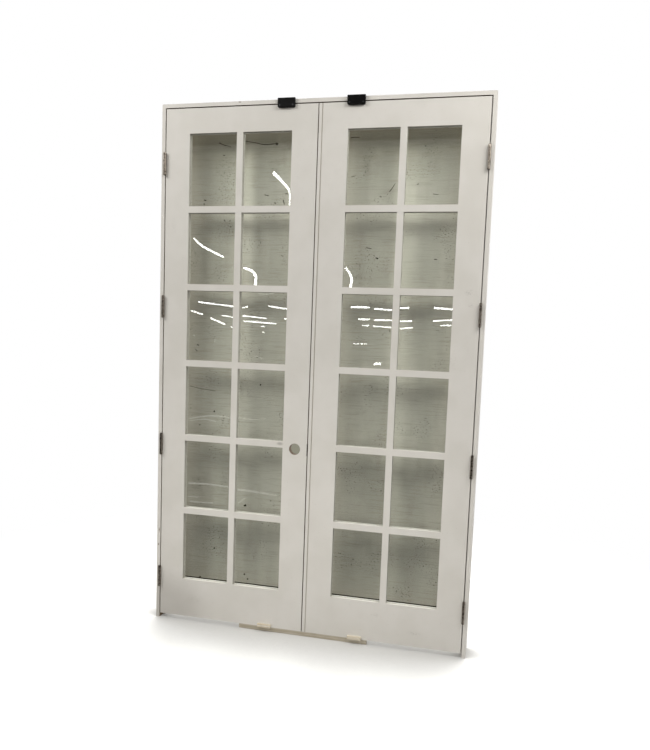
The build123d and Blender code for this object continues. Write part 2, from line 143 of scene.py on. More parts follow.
@dataclass(frozen=True)
class Pattern:
    """A cloudy pattern of a real size, smoothly stretched so that low gives nought and high one.

    Its size is that of its largest clouds, the same all ways or one for each axis. Detail is how
    many finer layers it has, and rough is how strong each is beside the one before.
    """

    size_mm: float | tuple[float, float, float]
    low: float = 0.0
    high: float = 1.0
    detail: float = 3.0
    rough: float = 0.5

    def on(self, tree: Tree) -> Socket:
        """Adds the pattern to a material and gives its value."""
        scale = tuple((1 / (np.broadcast_to(self.size_mm, 3) * MM)).tolist())
        place = add_node(tree, "TexCoord", output="Object")
        where = add_node(tree, "Mapping", {"Vector": place, "Scale": scale})
        cloud = add_node(tree, "TexNoise", {"Vector": where, "Scale": 1.0, "Detail": self.detail,
                                            "Roughness": self.rough})
        return add_node(tree, "MapRange", {"Value": cloud, "From Min": self.low, "From Max": self.high},
                        interpolation_type="SMOOTHSTEP")


def along(tree: Tree, axis: int) -> Socket:
    """Gives the place along one axis of the frame."""
    return add_node(tree, "SeparateXYZ", {0: add_node(tree, "TexCoord", output="Object")}, axis)


def strongest(tree: Tree, *values: Socket) -> Socket:
    """Gives the greatest of some values at each point."""
    greatest = values[0]
    for value in values[1:]:
        greatest = add_node(tree, "Math", {0: greatest, 1: value}, operation="MAXIMUM")
    return greatest


def layered(tree: Tree, base: str | Socket, *layers: tuple[Socket, str | Socket]) -> Socket:
    """Lays tints over a base colour one after another, each as strongly as its mask says.

    Args:
        tree: The node tree.
        base: The colour beneath them, as a hex code or a socket.
        layers: A mask and a tint for each layer, the lowest first.

    Returns:
        The colour of the whole.
    """
    colour = linear(base) if isinstance(base, str) else base
    for mask, tint in layers:
        tint = linear(tint) if isinstance(tint, str) else tint
        colour = add_node(tree, "Mix", {0: mask, 6: colour, 7: tint}, 2, data_type="RGBA")
    return colour


def end_solid(tree: Tree, height: Socket, strength: float, depth_mm: float, inputs: dict) -> None:
    """Ends the material of a solid whose surface is a little uneven.

    Args:
        tree: The node tree.
        height: The pattern of the unevenness.
        strength: How strongly it shows.
        depth_mm: How deep it is.
        inputs: What the shader's other inputs get.
    """
    bump = add_node(tree, "Bump", {"Strength": strength, "Distance": depth_mm * MM, "Height": height})
    shader = add_node(tree, "BsdfPrincipled", {**inputs, "Normal": bump})
    add_node(tree, "OutputMaterial", {"Surface": shader})


def end_stage(tree: Tree, share: Socket, surface: Socket, otherwise: Socket | None = None) -> None:
    """Ends a material that shows its surface only as far as a share says.

    Args:
        tree: The node tree.
        share: One where the surface is there and nought where it isn't.
        surface: The surface's shader.
        otherwise: What is there instead, or None for clear air.
    """
    rest = add_node(tree, "BsdfTransparent") if otherwise is None else otherwise
    both = add_node(tree, "MixShader", {0: share, 1: rest, 2: surface})
    add_node(tree, "OutputMaterial", {"Surface": both})


def seen_directly(tree: Tree) -> Socket:
    """Gives one for rays that come from the camera, from a gloss or through glass, else nought."""
    path = add_node(tree, "LightPath").node.outputs
    return strongest(tree, path["Is Camera Ray"], path["Is Glossy Ray"], path["Is Transmission Ray"])


def mirrored_only(tree: Tree) -> Socket:
    """Gives one for rays that a gloss or a pane's far side has turned back, else nought.

    A ray that a pane's far side turns back leaves the pane with more than two bends behind it,
    and a ray that goes straight through the pane with two.
    """
    path = add_node(tree, "LightPath").node.outputs
    bent = add_node(tree, "Math", {0: path["Ray Depth"], 1: 2.5}, operation="GREATER_THAN")
    straight = add_node(tree, "Math", {0: path["Is Transmission Ray"], 1: bent}, operation="SUBTRACT",
                        use_clamp=True)
    return add_node(tree, "Math", {0: path["Is Glossy Ray"], 1: straight}, operation="SUBTRACT",
                    use_clamp=True)


# Places on the wood

@dataclass(frozen=True)
class Scuff:
    """A soft oval mark, in metres across and up the frame, for rub marks, bare spots, smudges and patches
    of painted shade.
    """

    across: float
    up: float
    half_width: float
    half_height: float
    strength: float

    def mask(self, tree: Tree) -> Socket:
        """Fades from its strength in the middle of the mark to nought at its rim."""
        scale = Vector((1 / self.half_width, 0.0, 1 / self.half_height))
        shift = (-self.across * scale.x, 0.0, -self.up * scale.z)
        local = add_node(tree, "Mapping", {"Vector": add_node(tree, "TexCoord", output="Object"),
                                           "Scale": scale, "Location": shift})
        reach = add_node(tree, "VectorMath", {0: local}, "Value", operation="LENGTH")
        return add_node(tree, "MapRange", {"Value": reach, "From Min": 1.0, "From Max": 0.2,
                                           "To Max": self.strength}, interpolation_type="SMOOTHSTEP")


@dataclass(frozen=True)
class Shade:
    """A slow change of tone along one axis, from nothing at one place to its amount at another."""

    axis: int
    start: float
    full: float
    amount: float

    def mask(self, tree: Tree) -> Socket:
        """Rises smoothly from nought at its start to its amount."""
        return add_node(tree, "MapRange", {"Value": along(tree, self.axis), "From Min": self.start,
                                           "From Max": self.full, "To Max": self.amount},
                        interpolation_type="SMOOTHSTEP")


@dataclass(frozen=True)
class Region:
    """A box of the frame, or the round bore along one of its axes that just fits in the box."""

    low: tuple[float, float, float]
    high: tuple[float, float, float]
    bore_axis: int | None = None

    def mask(self, tree: Tree) -> Socket:
        """Gives one inside the box or bore and nought outside it."""
        low, high = Vector(self.low), Vector(self.high)
        place = add_node(tree, "TexCoord", output="Object")
        away = add_node(tree, "VectorMath", {0: place, 1: (low + high) / 2}, operation="SUBTRACT")
        away = add_node(tree, "VectorMath", {0: away}, operation="ABSOLUTE")
        away = add_node(tree, "VectorMath", {0: away, 1: (high - low) / 2}, operation="DIVIDE")
        shares = list(add_node(tree, "SeparateXYZ", {0: away}).node.outputs)
        if self.bore_axis is not None:
            depth = shares.pop(self.bore_axis)
            squares = [add_node(tree, "Math", {0: share, 1: share}, operation="MULTIPLY")
                       for share in shares]
            shares = [depth, add_node(tree, "Math", {0: squares[0], 1: squares[1]}, operation="ADD")]
        return add_node(tree, "Math", {0: strongest(tree, *shares), 1: 1.0}, operation="LESS_THAN")


@dataclass(frozen=True)
class Lock:
    """The bores and recesses that the lock leaves bare, as sizes in millimetres."""

    bore_radius_mm: float = 27.0
    backset_mm: float = 60.3
    latch_radius_mm: float = 12.7
    plate_mm: tuple[float, float] = (28.6, 57.2)
    plate_depth_mm: float = 3.0
    height_mm: float = 878.0
    skin_mm: float = 0.3

    def middle(self) -> Vector:
        """The middle of the lock bore."""
        low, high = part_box("left_lock_stile")
        return Vector((high.x - self.backset_mm * MM, (low.y + high.y) / 2, low.z + self.height_mm * MM))

    def regions(self) -> tuple[Region, ...]:
        """The lock bore, the latch bore, and the faceplate's and the strike's recesses."""
        low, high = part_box("left_lock_stile")
        skin, middle = self.skin_mm * MM, self.middle()
        round_bore, latch = self.bore_radius_mm * MM + skin, self.latch_radius_mm * MM + skin
        wide, tall = (size / 2 * MM + skin for size in self.plate_mm)
        deep = self.plate_depth_mm * MM + skin
        strip_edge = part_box("meeting_strip")[0].x
        return (
            Region((middle.x - round_bore, low.y + skin, middle.z - round_bore),
                   (middle.x + round_bore, high.y - skin, middle.z + round_bore), 1),
            Region((middle.x, middle.y - latch, middle.z - latch),
                   (high.x - skin, middle.y + latch, middle.z + latch), 0),
            Region((high.x - deep, middle.y - wide, middle.z - tall),
                   (high.x - skin, middle.y + wide, middle.z + tall)),
            Region((strip_edge + skin, middle.y - wide, middle.z - tall),
                   (strip_edge + 4 * deep, middle.y + wide, middle.z + tall)),
        )


@dataclass(frozen=True)
class Gaps:
    """The narrow gaps round and between the leaves, whose walls are painted as bare wood, darker than the
    primer, which stands for the shade in the gaps as well.
    """

    skin_mm: float = 0.4
    front_mm: float = 1.2
    groove_mm: float = 2.5
    arris_mm: float = 1.4

    def groove(self) -> Region:
        """The small groove where the meeting strip joins the right leaf, painted darker as dust and
        painted shade.
        """
        low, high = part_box("meeting_strip")
        skin, half = self.skin_mm * MM / 2, self.groove_mm * MM
        return Region((high.x - half + skin, low.y + skin, low.z),
                      (high.x + half - skin, low.y + 2 * half, high.z))

    def strike(self, lock: Lock) -> Region:
        """The meeting gap before the faceplate's and the strike's recesses, and the arris there, painted
        near black as painted shade.
        """
        skin, middle, half = self.skin_mm * MM, lock.middle(), lock.plate_mm[1] / 2 * MM
        low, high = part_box("left_lock_stile")
        return Region((high.x - self.arris_mm * MM, low.y - skin, middle.z - half),
                      (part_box("meeting_strip")[0].x + skin, high.y, middle.z + half))

    def regions(self) -> tuple[Region, ...]:
        """The gaps at both jambs, under the head and at the meeting edge."""
        skin = self.skin_mm * MM
        leaf_low, leaf_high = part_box("left_hinge_stile")
        right_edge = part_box("right_hinge_stile")[1].x
        jamb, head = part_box("left_jamb"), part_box("head_jamb")
        front, back, top = leaf_low.y + self.front_mm * MM, leaf_high.y + skin, head[1].z
        left_wall, right_wall = jamb[1].x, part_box("right_jamb")[0].x
        upright = ((left_wall, leaf_low.x), (right_edge, right_wall),
                   (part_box("left_lock_stile")[1].x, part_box("meeting_strip")[0].x))
        left, right, meeting = (Region((low - skin, front, -skin), (high + skin, back, top))
                                for low, high in upright)
        return left, right, Region((left_wall - skin, front, leaf_high.z - skin),
                                   (right_wall + skin, back, head[0].z + skin)), meeting


# Finishes

@dataclass(frozen=True)
class SprayedPrimer:
    """Factory primer sprayed on softwood: dull, warm off-white, a little uneven and scuffed.

    The eye gets a soft even face, faint cloudy patches, a slight orange peel up close and the
    wood's grain telegraphing along each member. The lock's bores and recesses are bare wood, and
    the walls of the narrow gaps are painted as bare wood too, which there stands for their shade as
    well. The openings' sides and undersides are darker, as painted shade with some grime, the
    groove at the meeting strip is darker as dust and painted shade, and the meeting gap before the
    lock's recesses is painted near black as painted shade.
    """

    grain: Grain
    # Painted as bare wood: the lock's bores and recesses, and the walls of the narrow gaps, where it
    # stands for their shade as well.
    bare: tuple[Region, ...] = ()
    # Painted darker, as dust and painted shade.
    darkened: tuple[Region, ...] = ()
    # Painted near black, as painted shade in a recess.
    shaded_recesses: tuple[Region, ...] = ()
    pale: str = "DAD7D1"
    deep: str = "D4D1CA"
    # Tone of the dust and painted shade in the groove.
    dust: str = "B4AEA4"
    # Near black, the painted shade of the recesses.
    recess_shade: str = "2C231C"
    # Tone of the painted shade, with some grime, on the openings' sides and undersides.
    grime_and_shade: str = "6E6A5E"
    reveal: tuple[float, float] = (-0.0492, -0.0465)
    reveal_end: tuple[float, float] = (-0.0152, -0.0160)
    # How strong that painted shade is.
    reveal_grime_and_shade: float = 0.60
    # Tone of the rubs and scuffs, and of the painted shade at the lower left corner.
    rub_and_shade: str = "96928B"
    wood: str = "84725C"
    knot: str = "5F4F3D"
    speck: str = "A59E92"
    patches: Pattern = Pattern(160.0, 0.32, 0.68, 2.0)
    clouds: Pattern = Pattern(30.0, 0.30, 0.75, 4.0, 0.55)
    cloud_strength: float = 0.35
    cloud_dulls: float = 0.08
    specks: Pattern = Pattern(4.0, 0.74, 0.80, 1.0)
    speck_strength: float = 0.5
    rubbed: Pattern = Pattern((7.0, 30.0, 3.5), 0.46, 0.64, 4.0, 0.7)
    flaked: Pattern = Pattern(3.5, 0.40, 0.50)
    peel: Pattern = Pattern(1.8, detail=2.0)
    grain_across_mm: float = 2.6
    grain_along_mm: float = 90.0
    fibre_height: float = 0.6
    roughness: float = 0.55
    scuffs: tuple[Scuff, ...] = (
        Scuff(0.700, 1.640, 0.034, 0.020, 0.50),
        Scuff(0.705, 1.585, 0.018, 0.014, 0.40),
        Scuff(0.530, 0.085, 0.050, 0.012, 0.35),
        Scuff(0.350, 0.150, 0.030, 0.016, 0.25),
        Scuff(-0.560, 0.110, 0.060, 0.040, 0.22),
        Scuff(0.640, 1.340, 0.024, 0.050, 0.18),
        Scuff(-0.700, 1.930, 0.020, 0.060, 0.16),
    )
    soft: tuple[Scuff, ...] = (
        # Painted shade: the lower left corner darker, as the floor shades it.
        Scuff(-0.720, 0.060, 0.300, 0.240, 0.45),
        # A smudge by the lock bore.
        Scuff(-0.143, 0.921, 0.022, 0.011, 0.60),
    )
    chips: tuple[Scuff, ...] = (
        Scuff(-0.757, 0.445, 0.004, 0.018, 1.0),
        Scuff(-0.760, 0.372, 0.005, 0.010, 1.0),
        Scuff(-0.382, 2.479, 0.010, 0.004, 0.9),
        Scuff(-0.715, 2.461, 0.008, 0.003, 1.0),
    )

    def fibres(self) -> Pattern:
        """The wood's grain, fine across the member and long along it."""
        sizes = (self.grain_along_mm if axis == self.grain.value else self.grain_across_mm
                 for axis in range(3))
        return Pattern(tuple(sizes), rough=0.6)

    def worn(self, tree: Tree, marks: tuple[Scuff, ...], broken: Pattern) -> Socket:
        """The strongest of some marks at each point, broken up by a fine pattern."""
        marked = strongest(tree, *(mark.mask(tree) for mark in marks))
        return add_node(tree, "Math", {0: marked, 1: broken.on(tree)}, operation="MULTIPLY")

    def in_reveals(self, tree: Tree) -> Socket:
        """Painted shade with some grime just behind the face, on the sides and tops of the openings but
        not on their sills.
        """
        front = Shade(1, *self.reveal, self.reveal_grime_and_shade).mask(tree)
        back = Shade(1, *self.reveal_end, 1.0).mask(tree)
        depth = add_node(tree, "Math", {0: front, 1: back}, operation="MULTIPLY")
        # Faces that look up, such as the sills, catch the light and get no painted shade.
        looks_up = add_node(tree, "SeparateXYZ", {0: add_node(tree, "TexCoord", output="Normal")}, "Z")
        shed = add_node(tree, "Math", {0: 1.0, 1: looks_up}, operation="SUBTRACT", use_clamp=True)
        return add_node(tree, "Math", {0: depth, 1: shed}, operation="MULTIPLY")

    def build(self, name: str) -> Material:
        """Makes the material.

        Args:
            name: The member that it is for.

        Returns:
            The material.
        """
        material, tree = new_tree(f"sprayed primer on softwood, {name}")
        clouds = self.clouds.on(tree)
        faint = add_node(tree, "Math", {0: clouds, 1: self.cloud_strength}, operation="MULTIPLY")
        specks = add_node(tree, "Math", {0: self.specks.on(tree), 1: self.speck_strength},
                          operation="MULTIPLY")
        painted = layered(
            tree, self.pale, (strongest(tree, self.patches.on(tree), faint), self.deep),
            (specks, self.speck),
            (self.worn(tree, self.scuffs, self.rubbed), self.rub_and_shade),
            # Soft marks, one of them painted shade.
            *((part.mask(tree), self.rub_and_shade) for part in self.soft),
            # Painted shade with some grime on the openings' sides and undersides.
            (self.in_reveals(tree), self.grime_and_shade),
            # The groove at the meeting strip, darker as dust and painted shade.
            *((region.mask(tree), self.dust) for region in self.darkened))
        fibres = self.fibres().on(tree)
        chipped = self.worn(tree, self.chips, self.flaked)
        # Bare wood where no paint is, and on the gaps' walls, where it also stands for their shade.
        bare_wood_and_gap_shade = strongest(tree, chipped, *(region.mask(tree) for region in self.bare))
        colour = layered(tree, painted, (bare_wood_and_gap_shade, layered(tree, self.wood, (fibres, self.knot))),
                         # The meeting gap before the lock's recesses, painted near black as painted
                         # shade.
                         *((region.mask(tree), self.recess_shade) for region in self.shaded_recesses))
        height = add_node(tree, "Math", {0: fibres, 1: self.fibre_height, 2: self.peel.on(tree)},
                          operation="MULTIPLY_ADD")
        dull = add_node(tree, "Math", {0: clouds, 1: self.cloud_dulls, 2: self.roughness},
                        operation="MULTIPLY_ADD")
        end_solid(tree, height, 0.25, 0.05, {"Base Color": colour, "Roughness": dull,
                                             "Specular IOR Level": 0.4})
        return material


@dataclass(frozen=True)
class FloatGlass:
    """Clear float glass, 4 mm thick, with a thin film of dust from the yard.

    The eye gets sharp reflections, a faint green-grey cast and dull smears. Lamps shine
    through it, so what stands behind stays lit.
    """

    tint: str = "F6F8F5"
    dust: str = "F0F0EB"
    smears: Pattern = Pattern((60.0, 50.0, 180.0), 0.48, 0.80, 5.0, 0.6)
    clear: tuple[float, float] = (0.99, 0.97)
    index: float = 1.52

    def build(self) -> Material:
        """Makes the material."""
        material, tree = new_tree("clear float glass")
        smears = self.smears.on(tree)
        clear = add_node(tree, "MapRange", {"Value": smears, "To Min": self.clear[0],
                                            "To Max": self.clear[1]})
        colour = layered(tree, self.tint, (smears, self.dust))
        pane = add_node(tree, "BsdfPrincipled", {"Base Color": colour, "Roughness": 0.0,
                                                 "IOR": self.index, "Transmission Weight": clear})
        through = add_node(tree, "BsdfTransparent", {"Color": linear(self.tint)})
        end_stage(tree, add_node(tree, "LightPath", output="Is Shadow Ray"), through, pane)
        return material


@dataclass(frozen=True)
class PlatedMetal:
    """Plated sheet steel, brushed or tumbled, with dull handling marks."""

    name: str
    bright: str
    dark: str
    roughness: float
    brushing: Pattern = Pattern((0.8, 0.8, 12.0), detail=2.0)
    stains: Pattern = Pattern(7.0, 0.35, 0.70, 4.0, 0.6)
    stain_dulls: float = 0.14
    brush_dulls: float = 0.06

    def build(self) -> Material:
        """Makes the material."""
        material, tree = new_tree(self.name)
        stains, lines = self.stains.on(tree), self.brushing.on(tree)
        rough = add_node(tree, "Math", {0: stains, 1: self.stain_dulls, 2: self.roughness},
                         operation="MULTIPLY_ADD")
        rough = add_node(tree, "Math", {0: lines, 1: self.brush_dulls, 2: rough},
                         operation="MULTIPLY_ADD")
        end_solid(tree, lines, 0.2, 0.03, {"Base Color": layered(tree, self.bright, (stains, self.dark)),
                                           "Metallic": 1.0, "Roughness": rough})
        return material


@dataclass(frozen=True)
class MouldedPlastic:
    """Black polypropylene, moulded with a fine spark-eroded grain and rubbed grey in places."""

    body: str = "050505"
    rubbed: str = "0D0D0E"
    grain: Pattern = Pattern(0.7, detail=1.0)
    rubs: Pattern = Pattern(10.0, 0.52, 0.80, 5.0, 0.65)
    rub_dulls: float = 0.15
    roughness: float = 0.45

    def build(self) -> Material:
        """Makes the material."""
        material, tree = new_tree("moulded black polypropylene")
        rubs = self.rubs.on(tree)
        dull = add_node(tree, "Math", {0: rubs, 1: self.rub_dulls, 2: self.roughness},
                        operation="MULTIPLY_ADD")
        end_solid(tree, self.grain.on(tree), 0.4, 0.06,
                  {"Base Color": layered(tree, self.body, (rubs, self.rubbed)), "Roughness": dull,
                   "Specular IOR Level": 0.12})
        return material


@dataclass(frozen=True)
class SawnPine:
    """Unfinished pine, sawn along the grain: cream earlywood with tan latewood lines."""

    name: str = "sawn pine, unfinished"
    early: str = "DED7C9"
    late: str = "CABEA6"
    soil: str = "A39A88"
    ring_mm: float = 4.5
    ring_edge: tuple[float, float] = (0.45, 0.62)
    wander: Pattern = Pattern((160.0, 40.0, 40.0), detail=2.0)
    wander_rings: float = 3.0
    sawn: Pattern = Pattern((2.2, 40.0, 40.0), detail=2.0)
    soiled: Pattern = Pattern(45.0, 0.50, 0.78, 4.0, 0.6)
    soil_strength: float = 0.4

    def build(self) -> Material:
        """Makes the material."""
        material, tree = new_tree(self.name)
        drift = self.wander.on(tree)
        spread = add_node(tree, "CombineXYZ", {1: drift, 2: drift})
        rings = 1 / (self.ring_mm * MM)
        where = add_node(tree, "Mapping", {"Vector": add_node(tree, "TexCoord", output="Object"),
                                           "Scale": (0.0, rings, rings)})
        bent = add_node(tree, "VectorMath", {0: spread, 1: (0.0, self.wander_rings, self.wander_rings),
                                             2: where}, operation="MULTIPLY_ADD")
        bands = add_node(tree, "TexNoise", {"Vector": bent, "Scale": 1.0, "Detail": 0.0})
        bands = add_node(tree, "MapRange", {"Value": bands, "From Min": self.ring_edge[0],
                                            "From Max": self.ring_edge[1]})
        dirt = add_node(tree, "Math", {0: self.soiled.on(tree), 1: self.soil_strength},
                        operation="MULTIPLY")
        colour = layered(tree, self.early, (bands, self.late), (dirt, self.soil))
        end_solid(tree, self.sawn.on(tree), 0.5, 0.12, {"Base Color": colour, "Roughness": 0.78,
                                                        "Specular IOR Level": 0.3})
        return material


@dataclass(frozen=True)
class GlazingSealant:
    """Acrylic sealant tooled to a thin grey fillet, matt, with dust caught along it."""

    clean: str = "A5A298"
    darkened: str = "8B877B"
    dust: Pattern = Pattern(12.0, 0.35, 0.65)

    def build(self) -> Material:
        """Makes the material."""
        material, tree = new_tree("acrylic glazing sealant")
        dust = self.dust.on(tree)
        end_solid(tree, dust, 0.3, 0.1, {"Base Color": layered(tree, self.clean, (dust, self.darkened)),
                                         "Roughness": 0.7})
        return material


@dataclass
class Finishes:
    """One material for each of the object's finishes."""

    def __post_init__(self) -> None:
        """Makes the materials."""
        left_gap, right_gap, head_gap, meeting_gap = Gaps().regions()
        lock = Lock().regions()
        self.upright = SprayedPrimer(Grain.UPRIGHT).build("upright member")
        self.level = SprayedPrimer(Grain.LEVEL).build("level member")
        # Gap walls are painted as bare wood, which also stands for their shade.
        self.top = SprayedPrimer(Grain.LEVEL, (head_gap,)).build("top rail")
        gaps = {Side.LEFT: (left_gap, head_gap), Side.RIGHT: (right_gap, head_gap)}
        self.sides = {side: SprayedPrimer(Grain.UPRIGHT, gaps[side]).build(f"{side.value} stile")
                      for side in Side}
        self.jambs = {side: SprayedPrimer(Grain.UPRIGHT, gaps[side], reveal_grime_and_shade=0.0)
                      .build(f"{side.value} jamb") for side in Side}
        self.head = SprayedPrimer(Grain.LEVEL, (head_gap,), reveal_grime_and_shade=0.0).build("head")
        # The meeting edges: gaps painted as bare wood, which also stands for their shade, the groove
        # darker as dust and painted shade, and the meeting gap before the lock's recesses near black as
        # painted shade.
        self.meeting = SprayedPrimer(Grain.UPRIGHT, (meeting_gap, head_gap, *lock),
                                     (Gaps().groove(),), (Gaps().strike(Lock()),)).build("meeting edges")
        self.glass = FloatGlass().build()
        self.sealant = GlazingSealant().build()
        self.nickel = PlatedMetal("satin nickel plate", "9C948A", "4A423A", 0.32).build()
        self.zinc = PlatedMetal("bright zinc plate", "BCBEBF", "8E8D86", 0.34).build()
        self.black_steel = PlatedMetal("black phosphate steel", "5C5C5E", "2E2E30", 0.45).build()
        self.plastic = MouldedPlastic().build()
        self.pine = SawnPine().build()
        # A darker copy of the sawn pine for the lath, which stands for the shade under the leaves.
        self.shaded_pine = SawnPine("sawn pine, darkened as painted shade", "BBB3A3", "A89F8C").build()


def dress(node: str, material: Material) -> None:
    """Gives a carried-over piece its finish.

    Args:
        node: The CAD node's name.
        material: The finish.
    """
    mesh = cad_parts[node].data
    mesh.materials.clear()
    mesh.materials.append(material)


# New pieces

def ring_faces(copies: int, rows: int, columns: int, closed: bool) -> np.ndarray:
    """Faces of some like grids of points, each grid's columns closed into rings.

    Face (copy, row, column) joins that point with the next ones along the row and down the column.

    Args:
        copies: How many grids there are.
        rows: How many rings each grid has.
        columns: How many points a ring has.
        closed: Whether the last ring meets the first.

    Returns:
        Four point numbers for each face.
    """
    copy = np.arange(copies)[:, None, None] * rows * columns
    row = np.arange(rows if closed else rows - 1)[None, :, None]
    column = np.arange(columns)[None, None, :]
    after, beside = (row + 1) % rows * columns, (column + 1) % columns
    row = row * columns
    corners = (row + column, row + beside, after + beside, after + column)
    return np.stack([copy + corner for corner in corners], -1).reshape(-1, 4)


@dataclass(frozen=True)
class Piece:
    """What a new piece is called, what it is made of and where it belongs."""

    name: str
    material: Material
    body: str
    slot: str
    stands_for: tuple[str, ...] = ()
    sharp_deg: float = 35.0
    merge_mm: float = 0.001

    def build(self, points: np.ndarray, faces: np.ndarray) -> bpy.types.Object:
        """Makes the piece's mesh and fixes it to its body.

        Args:
            points: The points, as an array whose last axis is X, Y and Z.
            faces: Four point numbers for each face.

        Returns:
            The piece's object.
        """
        mesh = bpy.data.meshes.new(self.name)
        mesh.from_pydata(points.reshape(-1, 3), [], faces)
        shape = bmesh.new()
        shape.from_mesh(mesh)
        bmesh.ops.remove_doubles(shape, verts=shape.verts, dist=self.merge_mm * MM)
        bmesh.ops.recalc_face_normals(shape, faces=shape.faces)
        shape.to_mesh(mesh)
        shape.free()
        mesh.polygons.foreach_set("use_smooth", np.ones(len(mesh.polygons), bool))
        mesh.set_sharp_from_angle(angle=math.radians(self.sharp_deg))
        mesh.materials.append(self.material)
        thing = bpy.data.objects.new(self.name, mesh)
        bpy.context.scene.collection.objects.link(thing)
        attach(thing, self.body)
        if self.stands_for:
            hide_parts(*self.stands_for)
        LOG.info("%s: %d faces", self.name, len(mesh.polygons))
        return thing


@dataclass(frozen=True)
class CrossScrew:
    """A screw with a cross recess in its head, as sizes in millimetres."""

    head_radius: float
    shank_radius: float
    head_depth: float
    length: float
    crown: float = 0.0
    recess_reach: float = 0.62
    recess_width: float = 0.20
    recess_depth: float = 1.3
    recess_side: float = 0.10
    recess_end: float = 0.15
    point_length: float = 4.0
    turns: int = 32
    face_rings: int = 9

    def profile(self, way: np.ndarray) -> tuple[np.ndarray, np.ndarray, np.ndarray]:
        """Distances across and along the screw for every ring and turn.

        The rings grow from the middle of the head to its rim, then shrink down the
        countersink and the shank to the point. The head's face bulges by crown times one less
        the square of the radius, less the recess, which is the depth times a smooth cross: the
        greater of two bars at right angles that fade out over their edges.

        Args:
            way: The angle of each turn.

        Returns:
            Across, beside and outward, each with a row for each ring.
        """
        share = np.linspace(0, 1, self.face_rings)[:, None]
        across, beside = np.abs(share * np.cos(way)), np.abs(share * np.sin(way))
        bars = [np.clip((self.recess_width - narrow) / self.recess_side + 0.5, 0, 1)
                * np.clip((self.recess_reach - wide) / self.recess_end + 0.5, 0, 1)
                for narrow, wide in ((across, beside), (beside, across))]
        face = self.crown * (1 - share ** 2) - self.recess_depth * np.maximum(*bars)
        side = np.array([(self.shank_radius, -self.head_depth),
                         (self.shank_radius, self.point_length - self.length), (0, -self.length)])
        radius = np.concatenate([share[:, 0] * self.head_radius, side[:, 0]])[:, None]
        outward = np.concatenate([face, np.repeat(side[:, 1:], way.size, 1)])
        return radius * np.cos(way), radius * np.sin(way), outward

    def build(self, piece: Piece, heads: np.ndarray, outward: tuple[int, int, int]) -> None:
        """Makes all the screws of one set.

        Args:
            piece: What the set is called and where it belongs.
            heads: The middle of each head's face.
            outward: The way that the heads look, along one axis.
        """
        way = np.linspace(0, 2 * math.pi, self.turns, endpoint=False)
        axis = np.array(outward, float)
        first = np.roll(axis, 1)
        second = np.cross(axis, first)
        across, beside, out = (part[..., None] * MM for part in self.profile(way))
        local = across * first + beside * second + out * axis
        points = heads[:, None, None, :] + local[None]
        piece.build(points, ring_faces(len(heads), local.shape[0], self.turns, False))


@dataclass
class Glazing:
    """The sealant that beds one leaf's panes against their lips."""

    side: Side
    finishes: Finishes
    lap_mm: float = 6.0
    leg_mm: float = 1.5
    hollow_mm: float = 0.45

    def build(self) -> None:
        """Carries one section round each pane's sight line, mitred at the corners.

        The section is a triangle between the glass and the lip with its long side hollow. Each
        of its points keeps one distance in from the sight line and one in front of the glass.
        """
        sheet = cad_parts[f"{self.side.value}_panes"].data
        places = np.empty(len(sheet.vertices) * 3)
        sheet.vertices.foreach_get("co", places)
        places = np.unique(places.reshape(-1, 3).round(5), axis=0)
        lap, leg, hollow = self.lap_mm * MM, self.leg_mm * MM, self.hollow_mm * MM
        columns, rows = (np.unique(places[:, axis]).reshape(-1, 2) + (lap, -lap) for axis in (0, 2))
        glass_front = places[:, 1].min()
        section = np.array([(0, 0), (leg, 0), (hollow, -hollow), (0, -leg)])
        ends = np.array([(0, 0), (1, 0), (1, 1), (0, 1)])
        inward = 1 - 2 * ends
        grids = np.meshgrid(np.arange(len(columns)), np.arange(len(rows)))
        column, row = (grid.ravel() for grid in grids)
        across = columns[column][:, ends[:, 0]][..., None] + inward[:, :1] * section[:, 0]
        up = rows[row][:, ends[:, 1]][..., None] + inward[:, 1:] * section[:, 0]
        deep = np.broadcast_to(glass_front + section[:, 1], across.shape)
        piece = Piece(f"{self.side.value}_glazing_sealant", self.finishes.sealant, self.side.body,
                      "primed_wood")
        faces = ring_faces(len(column), len(ends), len(section), True)
        piece.build(np.stack([across, deep, up], -1), faces)


# The object

@dataclass
class DoorFrame:
    """The jambs, the head and the stops."""

    finishes: Finishes

    def build(self) -> None:
        """Dresses each member with its grain along its length."""
        for side in Side:
            dress(f"{side.value}_jamb", self.finishes.jambs[side])
            dress(f"{side.value}_stop", self.finishes.upright)
        dress("head_jamb", self.finishes.head)
        dress("head_stop", self.finishes.level)


@dataclass
class DoorLeaf:
    """One leaf: its woodwork, glass, beads and sealant, its clip, and its block."""

    side: Side
    finishes: Finishes
    clip_screw_inset_mm: float = 10.0
    clip_screw_rise_mm: float = 10.0

    def build(self) -> None:
        """Dresses each piece of the leaf and adds the sealant and the clip's screws."""
        looks = self.finishes
        parts = {"hinge_stile": looks.sides[self.side], "lock_stile": looks.meeting,
                 "top_rail": looks.top, "upright_muntin": looks.upright, "glazing_beads": looks.upright,
                 "bottom_rail": looks.level, "level_muntins": looks.level, "panes": looks.glass,
                 "clip": looks.plastic, "block": looks.pine}
        for part, finish in parts.items():
            dress(f"{self.side.value}_{part}", finish)
        Glazing(self.side, self.finishes).build()
        self.clip_screws()

    def clip_screws(self) -> None:
        """Puts two screws through the lower corners of the clip."""
        node = f"{self.side.value}_clip_screws"
        low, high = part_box(f"{self.side.value}_clip")
        inset, rise = self.clip_screw_inset_mm * MM, self.clip_screw_rise_mm * MM
        heads = np.array([(across, low.y, low.z + rise) for across in (low.x + inset, high.x - inset)])
        screw = CrossScrew(3.5, 1.5, 2.5, 30.0, recess_depth=1.0)
        piece = Piece(f"{node[:-1]}_set", self.finishes.black_steel, self.side.body, "zinc_steel",
                      (node,))
        screw.build(piece, heads, (0, -1, 0))


